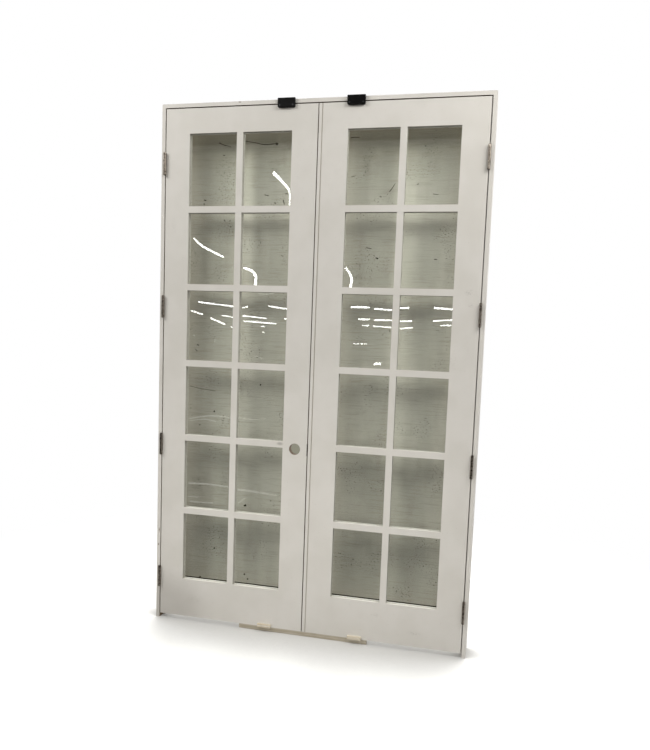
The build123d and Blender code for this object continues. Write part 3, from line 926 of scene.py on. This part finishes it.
@dataclass
class Hinges:
    """The butt hinges of one side, with their pins and screws."""

    side: Side
    finishes: Finishes
    rows_mm: tuple[float, float] = (9.0, 19.0)
    screws_each: int = 4

    def build(self) -> None:
        """Dresses the hinge leaves and the pins, and makes the screws."""
        name = self.side.value
        plates = [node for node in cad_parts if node.startswith(f"{name}_hinge_")
                  and node.endswith(("_frame_leaf", "_door_leaf"))]
        for node in (*plates, f"{name}_hinge_pins"):
            dress(node, self.finishes.nickel)
        levels = sorted((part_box(node)[0].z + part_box(node)[1].z) / 2 for node in plates
                        if node.endswith("_frame_leaf"))
        pitch = (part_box(plates[0])[1].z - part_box(plates[0])[0].z) / self.screws_each
        jamb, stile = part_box(f"{name}_jamb"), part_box(f"{name}_hinge_stile")
        inner = 1 if self.side is Side.LEFT else 0
        self.screws("frame", jamb[inner].x, -self.side.way, 16.0, levels, pitch, "frame")
        self.screws("door", stile[1 - inner].x, self.side.way, 25.0, levels, pitch, self.side.body)

    def screws(self, member: str, face: float, way: int, length: float, levels: list[float], pitch: float,
               body: str) -> None:
        """Makes the screws that hold one side's plates to a jamb or a leaf, in staggered rows.

        Args:
            member: The word for the jamb or the leaf in the node's name.
            face: Where the plates' faces are, across the frame.
            way: Which way the heads look, across the frame.
            length: The screws' length in millimetres.
            levels: The height of each hinge's middle.
            pitch: The distance from one screw to the next.
            body: The body that they ride on.
        """
        node = f"{self.side.value}_{member}_hinge_screws"
        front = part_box(f"{self.side.value}_hinge_stile")[0].y
        place = np.arange(self.screws_each)
        up = (np.array(levels)[:, None] + (place - (self.screws_each - 1) / 2) * pitch).ravel()
        deep = front + np.tile(np.array(self.rows_mm)[place % 2], len(levels)) * MM
        heads = np.stack([np.full_like(up, face), deep, up], -1)
        piece = Piece(f"{node[:-1]}_set", self.finishes.nickel, body, "satin_nickel", (node,))
        CrossScrew(4.0, 2.0, 2.3, length).build(piece, heads, (way, 0, 0))


@dataclass
class MeetingStrip:
    """The strip on the right leaf with its flush bolts, and the lath below the leaves."""

    finishes: Finishes

    def build(self) -> None:
        """Dresses the strip, the bolts and the lath."""
        dress("meeting_strip", self.finishes.meeting)
        for end in ("top", "bottom"):
            dress(f"{end}_bolt", self.finishes.zinc)
            dress(f"{end}_bolt_housing", self.finishes.zinc)
        # The lath takes the darker pine, as painted shade.
        dress("lath", self.finishes.shaded_pine)


# The studio

@dataclass
class Camera:
    """The photograph's viewpoint: a wide phone lens at eye height, right of the doors' middle."""

    across: float = 0.8592
    away: float = -3.103
    up: float = 1.402
    turned_left_deg: float = 12.892
    tipped_deg: float = -5.562
    rolled_deg: float = 2.226
    focal_px: float = 686.85
    middle_px: tuple[float, float] = (344.04, 410.33)
    frame_px: tuple[int, int] = (650, 750)
    sensor_mm: float = 36.0

    def matrix(self) -> Matrix:
        """The camera's place and turn in the frame."""
        turn = (Matrix.Rotation(math.radians(self.turned_left_deg), 4, "Z")
                @ Matrix.Rotation(math.radians(90 + self.tipped_deg), 4, "X")
                @ Matrix.Rotation(math.radians(self.rolled_deg), 4, "Z"))
        return Matrix.Translation((self.across, self.away, self.up)) @ turn

    def build(self) -> None:
        """Makes the camera and hands it to the scene. The long side of the picture is its height."""
        data = bpy.data.cameras.new("camera")
        wide, tall = self.frame_px
        long_side = max(wide, tall)
        data.sensor_fit = "AUTO"
        data.sensor_width = self.sensor_mm
        data.lens = self.focal_px * self.sensor_mm / long_side
        data.shift_x = (wide / 2 - self.middle_px[0]) / long_side
        data.shift_y = (self.middle_px[1] - tall / 2) / long_side
        data.clip_end = 200.0
        camera = bpy.data.objects.new("camera", data)
        camera.matrix_world = self.matrix()
        bpy.context.scene.collection.objects.link(camera)
        bpy.context.scene.camera = camera

    def rays(self, points_px: np.ndarray) -> np.ndarray:
        """The directions in the frame of some of the picture's points, each one unit deep.

        Args:
            points_px: Distances from the picture's left and top edges.

        Returns:
            A direction for each point.
        """
        flat = (points_px - np.array(self.middle_px)) / self.focal_px * (1, -1)
        local = np.concatenate([flat, -np.ones((*flat.shape[:-1], 1))], -1)
        return local @ np.array(self.matrix().to_3x3()).T

    def on_plane(self, points_px: np.ndarray, deep: float) -> np.ndarray:
        """Where some of the picture's points lie on an upright plane across the frame.

        Args:
            points_px: Distances from the picture's left and top edges.
            deep: The plane's Y.

        Returns:
            Their places in the frame.
        """
        ray = self.rays(points_px)
        places = np.array((self.across, self.away, self.up)) + ray / ray[:, 1:2] * (deep - self.away)
        places[:, 1] = deep
        return places


@dataclass(frozen=True)
class Panel:
    """One soft panel light: its place, the point that it faces, its size and its watts."""

    name: str
    spot: tuple[float, float, float]
    aim: tuple[float, float, float]
    size: tuple[float, float]
    power: float
    in_gloss: bool = False
    colour: str = "FFFDFA"

    def build(self) -> None:
        """Hangs the light, out of the camera's sight."""
        data = bpy.data.lights.new(self.name, "AREA")
        data.shape = "RECTANGLE"
        data.size, data.size_y = self.size
        data.energy = self.power
        data.color = linear(self.colour)[:3]
        light = bpy.data.objects.new(self.name, data)
        light.location = self.spot
        light.rotation_euler = (Vector(self.aim) - Vector(self.spot)).to_track_quat("-Z", "Y").to_euler()
        light.visible_camera = light.visible_transmission = False
        light.visible_glossy = self.in_gloss
        bpy.context.scene.collection.objects.link(light)


def stage_sheet(name: str, corners: list[tuple[float, float, float]], material: Material) -> None:
    """Puts one flat sheet in the scene as part of the studio.

    Args:
        name: The sheet's name.
        corners: Its corners in order.
        material: Its material.
    """
    mesh = bpy.data.meshes.new(name)
    mesh.from_pydata(corners, [], [tuple(range(len(corners)))])
    mesh.materials.append(material)
    sheet = bpy.data.objects.new(name, mesh)
    bpy.context.scene.collection.objects.link(sheet)


@dataclass
class Studio:
    """A pale floor, a white background, and soft light from the front and the back."""

    floor_reach: float = 30.0
    floor_tone: str = "D6D6D4"
    bounce_tone: str = "A2A09C"
    floor_glow: float = 0.70
    shadow_reach: float = 0.8
    shut_in: float = 0.55
    mirrored_tone: str = "4A4842"
    mirrored_from: float = -0.3
    floor_near: float = 0.8
    floor_far: float = 2.6
    fill: float = 0.30
    panels: tuple[Panel, ...] = (
        Panel("upper left panel", (-2.4, -2.0, 3.6), (0.0, 0.0, 1.5), (1.6, 1.0), 63.0, True),
        Panel("upper right panel", (2.0, -1.2, 3.3), (0.5, 0.0, 1.8), (1.6, 0.8), 45.0, True),
        Panel("low front panel", (0.0, -1.3, 0.5), (0.0, 0.0, 0.5), (2.4, 0.4), 7.8),
        Panel("rear left panel", (-1.8, 2.6, 2.6), (0.0, 0.0, 1.2), (1.8, 1.2), 62.0),
        Panel("rear right panel", (1.8, 2.6, 2.0), (0.0, 0.0, 1.1), (1.8, 1.2), 58.0),
    )

    def floor(self) -> None:
        """Lays the floor: pale and matt near the object, so that it keeps its shadow, then white.

        Its glow fades where the object shuts it in, as a painted contact shadow. Rays that the panes
        turn back see its front part as dim as the room that they mirror.
        """
        material, tree = new_tree("pale studio floor")
        matt = add_node(tree, "BsdfDiffuse", {"Color": linear(self.floor_tone)})
        # Painted contact shadow: the glow is dimmed where the object shuts the floor in.
        open_air = add_node(tree, "AmbientOcclusion", {"Distance": self.shadow_reach}, "AO",
                            samples=OPEN_AIR_RAYS)
        strength = add_node(tree, "MapRange", {"Value": open_air, "From Min": self.shut_in,
                                               "To Max": self.floor_glow})
        glow = add_node(tree, "Emission", {"Strength": strength})
        near = add_node(tree, "AddShader", {0: matt, 1: glow})
        reach = add_node(tree, "VectorMath", {0: add_node(tree, "TexCoord", output="Object")}, "Value",
                         operation="LENGTH")
        far = add_node(tree, "MapRange", {"Value": reach, "From Min": self.floor_near,
                                          "From Max": self.floor_far}, interpolation_type="SMOOTHSTEP")
        shown = add_node(tree, "MixShader", {0: far, 1: near, 2: add_node(tree, "Emission")})
        dull = add_node(tree, "BsdfDiffuse", {"Color": linear(self.bounce_tone)})
        lit = add_node(tree, "MixShader", {0: seen_directly(tree), 1: dull, 2: shown})
        front = add_node(tree, "Math", {0: along(tree, 1), 1: self.mirrored_from}, operation="LESS_THAN")
        mirrored = add_node(tree, "Math", {0: front, 1: mirrored_only(tree)}, operation="MULTIPLY")
        end_stage(tree, mirrored, add_node(tree, "Emission", {"Color": linear(self.mirrored_tone)}), lit)
        edge = self.floor_reach
        stage_sheet("floor", [(-edge, -edge, 0), (edge, -edge, 0), (edge, edge, 0), (-edge, edge, 0)],
                    material)

    def world(self) -> None:
        """White where it is looked at, and a soft even fill for everything else."""
        world = bpy.data.worlds.new("studio")
        bpy.context.scene.world = world
        world.use_nodes = True
        tree = world.node_tree
        tree.nodes.clear()
        fill = add_node(tree, "Background", {"Color": linear("FFFEFC"), "Strength": self.fill})
        white = add_node(tree, "Background", {"Color": linear("FFFFFF"), "Strength": 1.0})
        both = add_node(tree, "MixShader", {0: seen_directly(tree), 1: fill, 2: white})
        add_node(tree, "OutputWorld", {"Surface": both})

    def build(self) -> None:
        """Sets the studio up."""
        self.floor()
        self.world()
        for panel in self.panels:
            panel.build()


@dataclass(frozen=True)
class Streak:
    """A thin bent mark in the picture: its width at both ends, then X and Y of each point along it.

    All of them are in pixels, from the picture's left and top edges.
    """

    start_px: float
    end_px: float
    points_px: tuple[float, ...]
    steps: int = 12

    def outline(self) -> np.ndarray:
        """The mark's outline in the picture.

        Its middle line is drawn through its points by length along them, eased by a running
        mean, and its edges lie half its width to either side, at right angles to it.

        Returns:
            Points down one edge and back up the other.
        """
        points = np.reshape(self.points_px, (-1, 2))
        length = np.concatenate([[0], np.cumsum(np.linalg.norm(np.diff(points, axis=0), axis=1))])
        share = np.linspace(0, length[-1], self.steps)
        middle = np.stack([np.interp(share, length, points[:, axis]) for axis in (0, 1)], -1)
        middle[1:-1] = (middle[:-2] + middle[1:-1] + middle[2:]) / 3
        run = np.gradient(middle, axis=0)
        beside = np.stack([-run[:, 1], run[:, 0]], -1) / np.linalg.norm(run, axis=1, keepdims=True)
        half = np.linspace(self.start_px, self.end_px, self.steps)[:, None] / 2
        return np.concatenate([middle + beside * half, (middle - beside * half)[::-1]])


@dataclass
class WallBehind:
    """The plain wall that shows through the panes and the lock bore, dim and grey-green.

    It is darker towards its foot and across its upper middle, and darker at its sides and behind
    the right leaf's left panes as painted shade from the jambs and stiles. The head's painted
    shadow lies across its top, and a band of painted shade runs along its foot.
    """

    camera: Camera
    gap: float = 0.02
    pale: str = "CBC9C0"
    deep: str = "BCBAB1"
    streak: str = "A09B8D"
    # Tone of the painted shade and darkening.
    grime_and_shade: str = "625D51"
    dark: str = "2B271C"
    shadow: str = "575139"
    bands: Pattern = Pattern((150.0, ANY_LENGTH_MM, 900.0), 0.35, 0.65, 2.0)
    streaks: Pattern = Pattern((130.0, ANY_LENGTH_MM, 6.0), 0.48, 0.68, 3.0, 0.6)
    streak_strength: float = 0.44
    flecks: Pattern = Pattern((8.0, ANY_LENGTH_MM, 4.8), 0.61, 0.67, 2.0)
    clusters: Pattern = Pattern((140.0, ANY_LENGTH_MM, 140.0), 0.52, 0.60, 1.0)
    # Below this height the wall is painted dark, as painted shade at its foot.
    foot: float = 0.192
    crack_ahead_mm: float = 0.5
    shade_and_darkening: tuple[Shade | Scuff, ...] = (
        # Darker towards the foot.
        Shade(2, 1.30, 0.20, 0.12),
        Shade(2, 0.30, 0.19, 0.14),
        # Painted shade at the left and right sides, where the jambs and stiles shadow the wall.
        Shade(0, -0.34, -0.70, 0.32),
        Shade(0, 0.60, 0.71, 0.20),
        # Painted shade behind the right leaf's left panes, from the lock stiles and the strip.
        Scuff(0.22, 1.00, 0.26, 2.00, 0.13),
        # Darker across the upper middle.
        Scuff(-0.25, 1.62, 1.10, 0.56, 0.14),
    )
    shaded: tuple[Shade, ...] = (
        Shade(2, 2.10, 2.34, 0.45),
        Shade(2, 2.312, 2.326, 0.40),
    )
    cracks: tuple[Streak, ...] = (
        Streak(0.6, 1.0, (245.8, 141.4, 255.7, 142.8, 263.7, 144.9, 275.5, 143.9)),
        Streak(2.0, 2.4, (275.7, 143.5, 278.1, 144.5)),
        Streak(1.3, 1.0, (219.4, 142.8, 221.0, 143.9)),
        Streak(0.6, 0.9, (221.0, 143.9, 224.9, 145.5, 226.6, 145.6)),
        Streak(0.5, 0.4, (226.6, 145.6, 231.5, 147.2)),
        Streak(0.9, 0.6, (351.0, 137.9, 355.0, 137.4, 359.6, 137.5)),
        Streak(0.5, 0.9, (395.3, 183.5, 391.8, 189.0, 389.3, 192.0)),
        Streak(0.6, 0.4, (351.2, 177.0, 354.8, 176.4)),
        Streak(0.8, 0.8, (223.3, 155.4, 225.2, 155.6)),
        Streak(1.1, 1.1, (204.2, 200.2, 206.4, 200.6)),
        Streak(0.9, 0.7, (204.3, 203.4, 204.3, 205.2)),
        Streak(1.0, 0.8, (274.7, 202.6, 275.7, 203.9)),
        Streak(0.8, 0.7, (285.4, 194.0, 288.4, 193.8)),
        Streak(0.9, 0.9, (283.4, 200.0, 284.4, 204.5)),
        Streak(0.8, 0.6, (264.6, 194.9, 268.9, 195.9)),
        Streak(1.1, 0.9, (379.9, 196.4, 381.6, 197.2)),
        Streak(1.0, 0.9, (425.0, 145.9, 426.4, 146.3)),
        Streak(0.8, 0.6, (417.0, 184.5, 419.1, 183.8)),
        Streak(0.6, 0.5, (433.0, 194.0, 438.4, 194.8)),
        Streak(0.8, 0.7, (224.2, 219.8, 225.4, 221.6)),
        Streak(0.8, 0.8, (229.4, 221.1, 230.8, 220.8)),
        Streak(0.8, 0.8, (229.8, 226.6, 231.2, 227.2)),
        Streak(1.2, 1.4, (375.6, 257.8, 378.2, 258.8)),
        Streak(0.6, 0.7, (366.0, 247.6, 371.5, 248.8)),
        Streak(0.8, 0.8, (434.0, 259.2, 437.2, 259.6)),
        Streak(1.5, 2.2, (243.8, 505.6, 246.4, 505.2)),
        Streak(1.7, 1.7, (213.8, 547.9, 215.0, 548.3)),
        Streak(1.6, 1.6, (243.8, 573.8, 245.2, 574.5)),
        Streak(1.4, 1.4, (247.0, 578.6, 248.3, 579.2)),
        Streak(1.4, 1.4, (199.4, 576.3, 201.0, 576.9)),
        Streak(1.6, 1.6, (213.9, 411.0, 215.0, 411.6)),
        Streak(1.7, 1.7, (260.1, 384.5, 261.2, 385.1)),
        Streak(1.1, 0.9, (197.2, 344.6, 199.0, 345.3)),
        Streak(0.5, 0.5, (195.5, 349.0, 197.5, 351.2)),
        Streak(0.8, 0.6, (199.2, 425.2, 200.6, 424.2)),
        Streak(0.4, 0.4, (190.1, 385.8, 200.0, 388.5, 215.6, 390.9)),
    )

    def behind_glass(self, tree: Tree, colour: Socket | tuple[float, ...]) -> None:
        """Ends a matt material that only rays through glass meet."""
        end_stage(tree, add_node(tree, "LightPath", output="Is Transmission Ray"),
                  add_node(tree, "BsdfDiffuse", {"Color": colour}))

    def paint(self) -> Material:
        """Makes the wall's paint: soft upright bands, fine level streaks and flecks, darkening, painted
        shade and the head's painted shadow.
        """
        material, tree = new_tree("dim painted wall")
        streaks = add_node(tree, "Math", {0: self.streaks.on(tree), 1: self.streak_strength},
                           operation="MULTIPLY")
        # Painted shade and darkening, summed.
        grime_and_shade = self.shade_and_darkening[0].mask(tree)
        for part in self.shade_and_darkening[1:]:
            grime_and_shade = add_node(tree, "Math", {0: grime_and_shade, 1: part.mask(tree)}, operation="ADD")
        flecks = add_node(tree, "Math", {0: self.flecks.on(tree), 1: self.clusters.on(tree)},
                          operation="MULTIPLY")
        # A band of painted shade along the wall's foot.
        below = add_node(tree, "Math", {0: along(tree, 2), 1: self.foot}, operation="LESS_THAN")
        self.behind_glass(tree, layered(
            tree, self.pale, (self.bands.on(tree), self.deep), (streaks, self.streak),
            (grime_and_shade, self.grime_and_shade),
            (strongest(tree, flecks, below), self.dark),
            *((part.mask(tree), self.shadow) for part in self.shaded)))
        return material

    def build(self) -> None:
        """Stands the wall behind the doorway, with the cracks and pits that the photo shows in it."""
        low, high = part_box("head_stop")
        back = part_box("head_jamb")[1].y - self.gap
        stage_sheet("wall_behind", [(low.x, back, 0), (high.x, back, 0), (high.x, back, high.z),
                                    (low.x, back, high.z)], self.paint())
        material, tree = new_tree("crack in the painted wall")
        self.behind_glass(tree, linear(self.dark))
        near = back - self.crack_ahead_mm * MM
        for number, crack in enumerate(self.cracks, start=1):
            corners = self.camera.on_plane(crack.outline(), near).tolist()
            stage_sheet(f"wall_crack_{number}", corners, material)


@dataclass
class WallBehindBore:
    """The patch of the same wall that the open lock bore shows while its leaf is shut.

    It lies just behind the leaf, facing forwards, and it is there only where something close
    shuts out most of the light: with the leaf open, or from behind, nothing of it shows.
    """

    lock: Lock
    behind_mm: float = 1.0
    lap_mm: float = 8.0
    colour: str = "8E8C7D"
    reach: float = 0.10
    shut_in: float = 0.55
    open_air: float = 0.80
    corners: int = 48

    def build(self) -> None:
        """Makes the round patch."""
        material, tree = new_tree("dim painted wall behind the lock bore")
        light = add_node(tree, "AmbientOcclusion", {"Distance": self.reach}, "AO", samples=OPEN_AIR_RAYS)
        seen = add_node(tree, "MapRange", {"Value": light, "From Min": self.shut_in,
                                           "From Max": self.open_air, "To Min": 1.0, "To Max": 0.0})
        back = add_node(tree, "NewGeometry", output="Backfacing")
        front = add_node(tree, "Math", {0: 1.0, 1: back}, operation="SUBTRACT")
        for share in (add_node(tree, "LightPath", output="Is Camera Ray"), front):
            seen = add_node(tree, "Math", {0: seen, 1: share}, operation="MULTIPLY")
        end_stage(tree, seen, add_node(tree, "Emission", {"Color": linear(self.colour)}))
        material.cycles.emission_sampling = "NONE"
        middle = self.lock.middle()
        radius = (self.lock.bore_radius_mm + self.lap_mm) * MM
        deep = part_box("left_lock_stile")[1].y + self.behind_mm * MM
        way = np.linspace(0, 2 * math.pi, self.corners, endpoint=False)
        rim = np.stack([middle.x + radius * np.cos(way), np.full_like(way, deep),
                        middle.z + radius * np.sin(way)], -1)
        stage_sheet("wall_behind_bore", rim.tolist(), material)


@dataclass
class MirroredLamps:
    """What the panes mirror: a dim room with strip lamps and pale smears. Only such rays meet it.

    The old panes are not quite flat, so each lamp is a bent streak. It stands where its
    reflection falls on the right place of the picture. The smears, which lie low in the picture,
    stand nearer, so that none of them is under the floor.
    """

    camera: Camera
    room_away: float = -4.3
    lamps_away: float = -4.2
    smears_away: float = -0.9
    room: str = "4A4842"
    glow: float = 22.0
    smear_glow: float = 1.6
    low: tuple[float, float] = (-7.0, 0.0)
    high: tuple[float, float] = (6.0, 7.0)
    streaks: tuple[Streak, ...] = (
        Streak(3.3, 1.2, (273.2, 172.4, 289.9, 189.8, 289.9, 206.5)),
        Streak(2.0, 1.8, (193.5, 238.0, 201.5, 246.0, 223.6, 257.2)),
        Streak(2.0, 3.0, (243.3, 267.5, 252.4, 270.8, 256.2, 276.2, 255.1, 286.9)),
        Streak(2.0, 2.6, (345.4, 267.4, 350.1, 273.5, 351.9, 278.8, 350.1, 288.9)),
        Streak(1.3, 1.3, (198.3, 301.9, 234.0, 306.5)),
        Streak(1.3, 1.3, (190.6, 310.4, 202.7, 314.4)),
        Streak(1.3, 1.3, (210.4, 318.0, 225.0, 324.4)),
        Streak(1.0, 1.0, (221.9, 315.5, 234.0, 317.2)),
        Streak(1.2, 1.2, (242.3, 315.7, 265.9, 318.3)),
        Streak(1.2, 1.2, (243.5, 321.1, 276.0, 323.6)),
        Streak(1.4, 1.4, (268.4, 306.1, 287.5, 309.1)),
        Streak(1.8, 1.8, (350.9, 307.0, 369.7, 307.5)),
        Streak(1.8, 1.8, (374.2, 308.6, 392.0, 310.1)),
        Streak(1.8, 1.8, (399.1, 308.0, 409.3, 308.0)),
        Streak(1.8, 1.8, (434.2, 307.8, 452.7, 309.6)),
        Streak(1.4, 1.4, (358.3, 319.3, 369.5, 319.3)),
        Streak(1.4, 1.4, (373.8, 319.8, 391.7, 320.6)),
        Streak(1.4, 1.4, (398.0, 321.5, 411.9, 321.0)),
        Streak(1.4, 1.4, (432.9, 320.8, 452.0, 320.2)),
        Streak(1.0, 1.0, (362.0, 325.3, 369.0, 325.3)),
        Streak(1.0, 1.0, (373.3, 326.2, 391.0, 327.5)),
        Streak(1.0, 1.0, (398.0, 328.9, 412.9, 327.6)),
        Streak(1.0, 1.0, (440.6, 325.7, 451.4, 325.4)),
        Streak(0.7, 0.7, (353.4, 343.8, 366.9, 344.0)),
        Streak(2.2, 2.2, (374.0, 364.0, 381.0, 363.5)),
        Streak(1.2, 1.2, (242.3, 307.6, 247.8, 306.8)),
        Streak(0.9, 0.9, (260.0, 326.4, 265.3, 326.4)),
        Streak(1.2, 1.2, (284.2, 318.8, 287.4, 319.3)),
        Streak(1.0, 1.0, (231.2, 326.6, 232.8, 327.6)),
        Streak(0.9, 0.9, (262.6, 332.2, 263.9, 332.8)),
    )
    smears: tuple[Streak, ...] = (
        Streak(1.5, 1.5, (188.5, 483.0, 208.0, 484.0, 228.0, 487.0)),
        Streak(2.2, 1.6, (237.5, 489.5, 252.0, 491.5, 276.5, 495.5)),
        Streak(1.0, 1.2, (188.0, 496.2, 201.0, 497.4)),
        Streak(1.2, 1.0, (190.0, 501.6, 213.0, 503.0)),
        Streak(0.8, 1.2, (237.8, 503.2, 245.5, 498.0)),
        Streak(1.4, 1.2, (189.5, 418.5, 203.0, 416.2, 215.0, 415.6, 231.0, 417.5)),
        Streak(0.8, 1.2, (190.0, 420.8, 204.0, 419.0, 216.0, 421.5)),
        Streak(1.1, 0.7, (238.5, 417.6, 252.0, 419.6, 266.0, 418.4)),
        Streak(1.0, 0.9, (253.5, 355.6, 258.5, 356.8, 263.0, 359.2)),
        Streak(1.2, 1.0, (258.0, 293.4, 266.0, 294.3, 273.5, 293.5)),
        Streak(0.9, 0.8, (214.4, 342.2, 215.6, 339.4)),
        Streak(1.1, 1.0, (193.2, 335.0, 194.8, 335.8)),
    )

    def material(self, name: str, colour: str, strength: float) -> Material:
        """A glow that only mirrored rays see."""
        material, tree = new_tree(name)
        end_stage(tree, mirrored_only(tree),
                  add_node(tree, "Emission", {"Color": linear(colour), "Strength": strength}))
        material.cycles.emission_sampling = "NONE"
        return material

    def mirrored(self, points_px: np.ndarray, away: float) -> np.ndarray:
        """Where the panes' reflections of some of the picture's points stand.

        Each point's ray runs to the front of the panes, turns back across them and ends at the
        given distance, so it is the ray to a plane as far behind the panes, with Y turned over.

        Args:
            points_px: Points of the picture.
            away: The Y of the plane that they stand on.

        Returns:
            Their places in the frame.
        """
        places = self.camera.on_plane(points_px, 2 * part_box("left_panes")[0].y - away)
        places[:, 1] = away
        return places

    def build(self) -> None:
        """Hangs the dim backdrop and the lamps."""
        (left, foot), (right, top) = self.low, self.high
        deep = self.room_away
        stage_sheet("mirrored_room", [(left, deep, foot), (right, deep, foot), (right, deep, top),
                                      (left, deep, top)], self.material("dim room", self.room, 1.0))
        for name, glow, away, streaks in (("strip lamp", self.glow, self.lamps_away, self.streaks),
                                          ("pale smear", self.smear_glow, self.smears_away, self.smears)):
            lamp = self.material(name, "FFFFFF", glow)
            for number, streak in enumerate(streaks, start=1):
                corners = self.mirrored(streak.outline(), away).tolist()
                stage_sheet(f"mirrored {name} {number}", corners, lamp)


def main() -> None:
    """Builds the looks piece by piece, then the studio."""
    logging.basicConfig(level=logging.INFO, format="%(message)s")
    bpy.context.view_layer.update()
    finishes = Finishes()
    DoorFrame(finishes).build()
    LOG.info("frame dressed")
    for side in Side:
        DoorLeaf(side, finishes).build()
        Hinges(side, finishes).build()
        LOG.info("%s leaf and hinges dressed", side.value)
    MeetingStrip(finishes).build()
    LOG.info("meeting strip, bolts and lath dressed")
    camera = Camera()
    camera.build()
    Studio().build()
    WallBehind(camera).build()
    WallBehindBore(Lock()).build()
    MirroredLamps(camera).build()
    bpy.context.scene.view_settings.view_transform = "Standard"


if __name__ == "__main__":
    main()
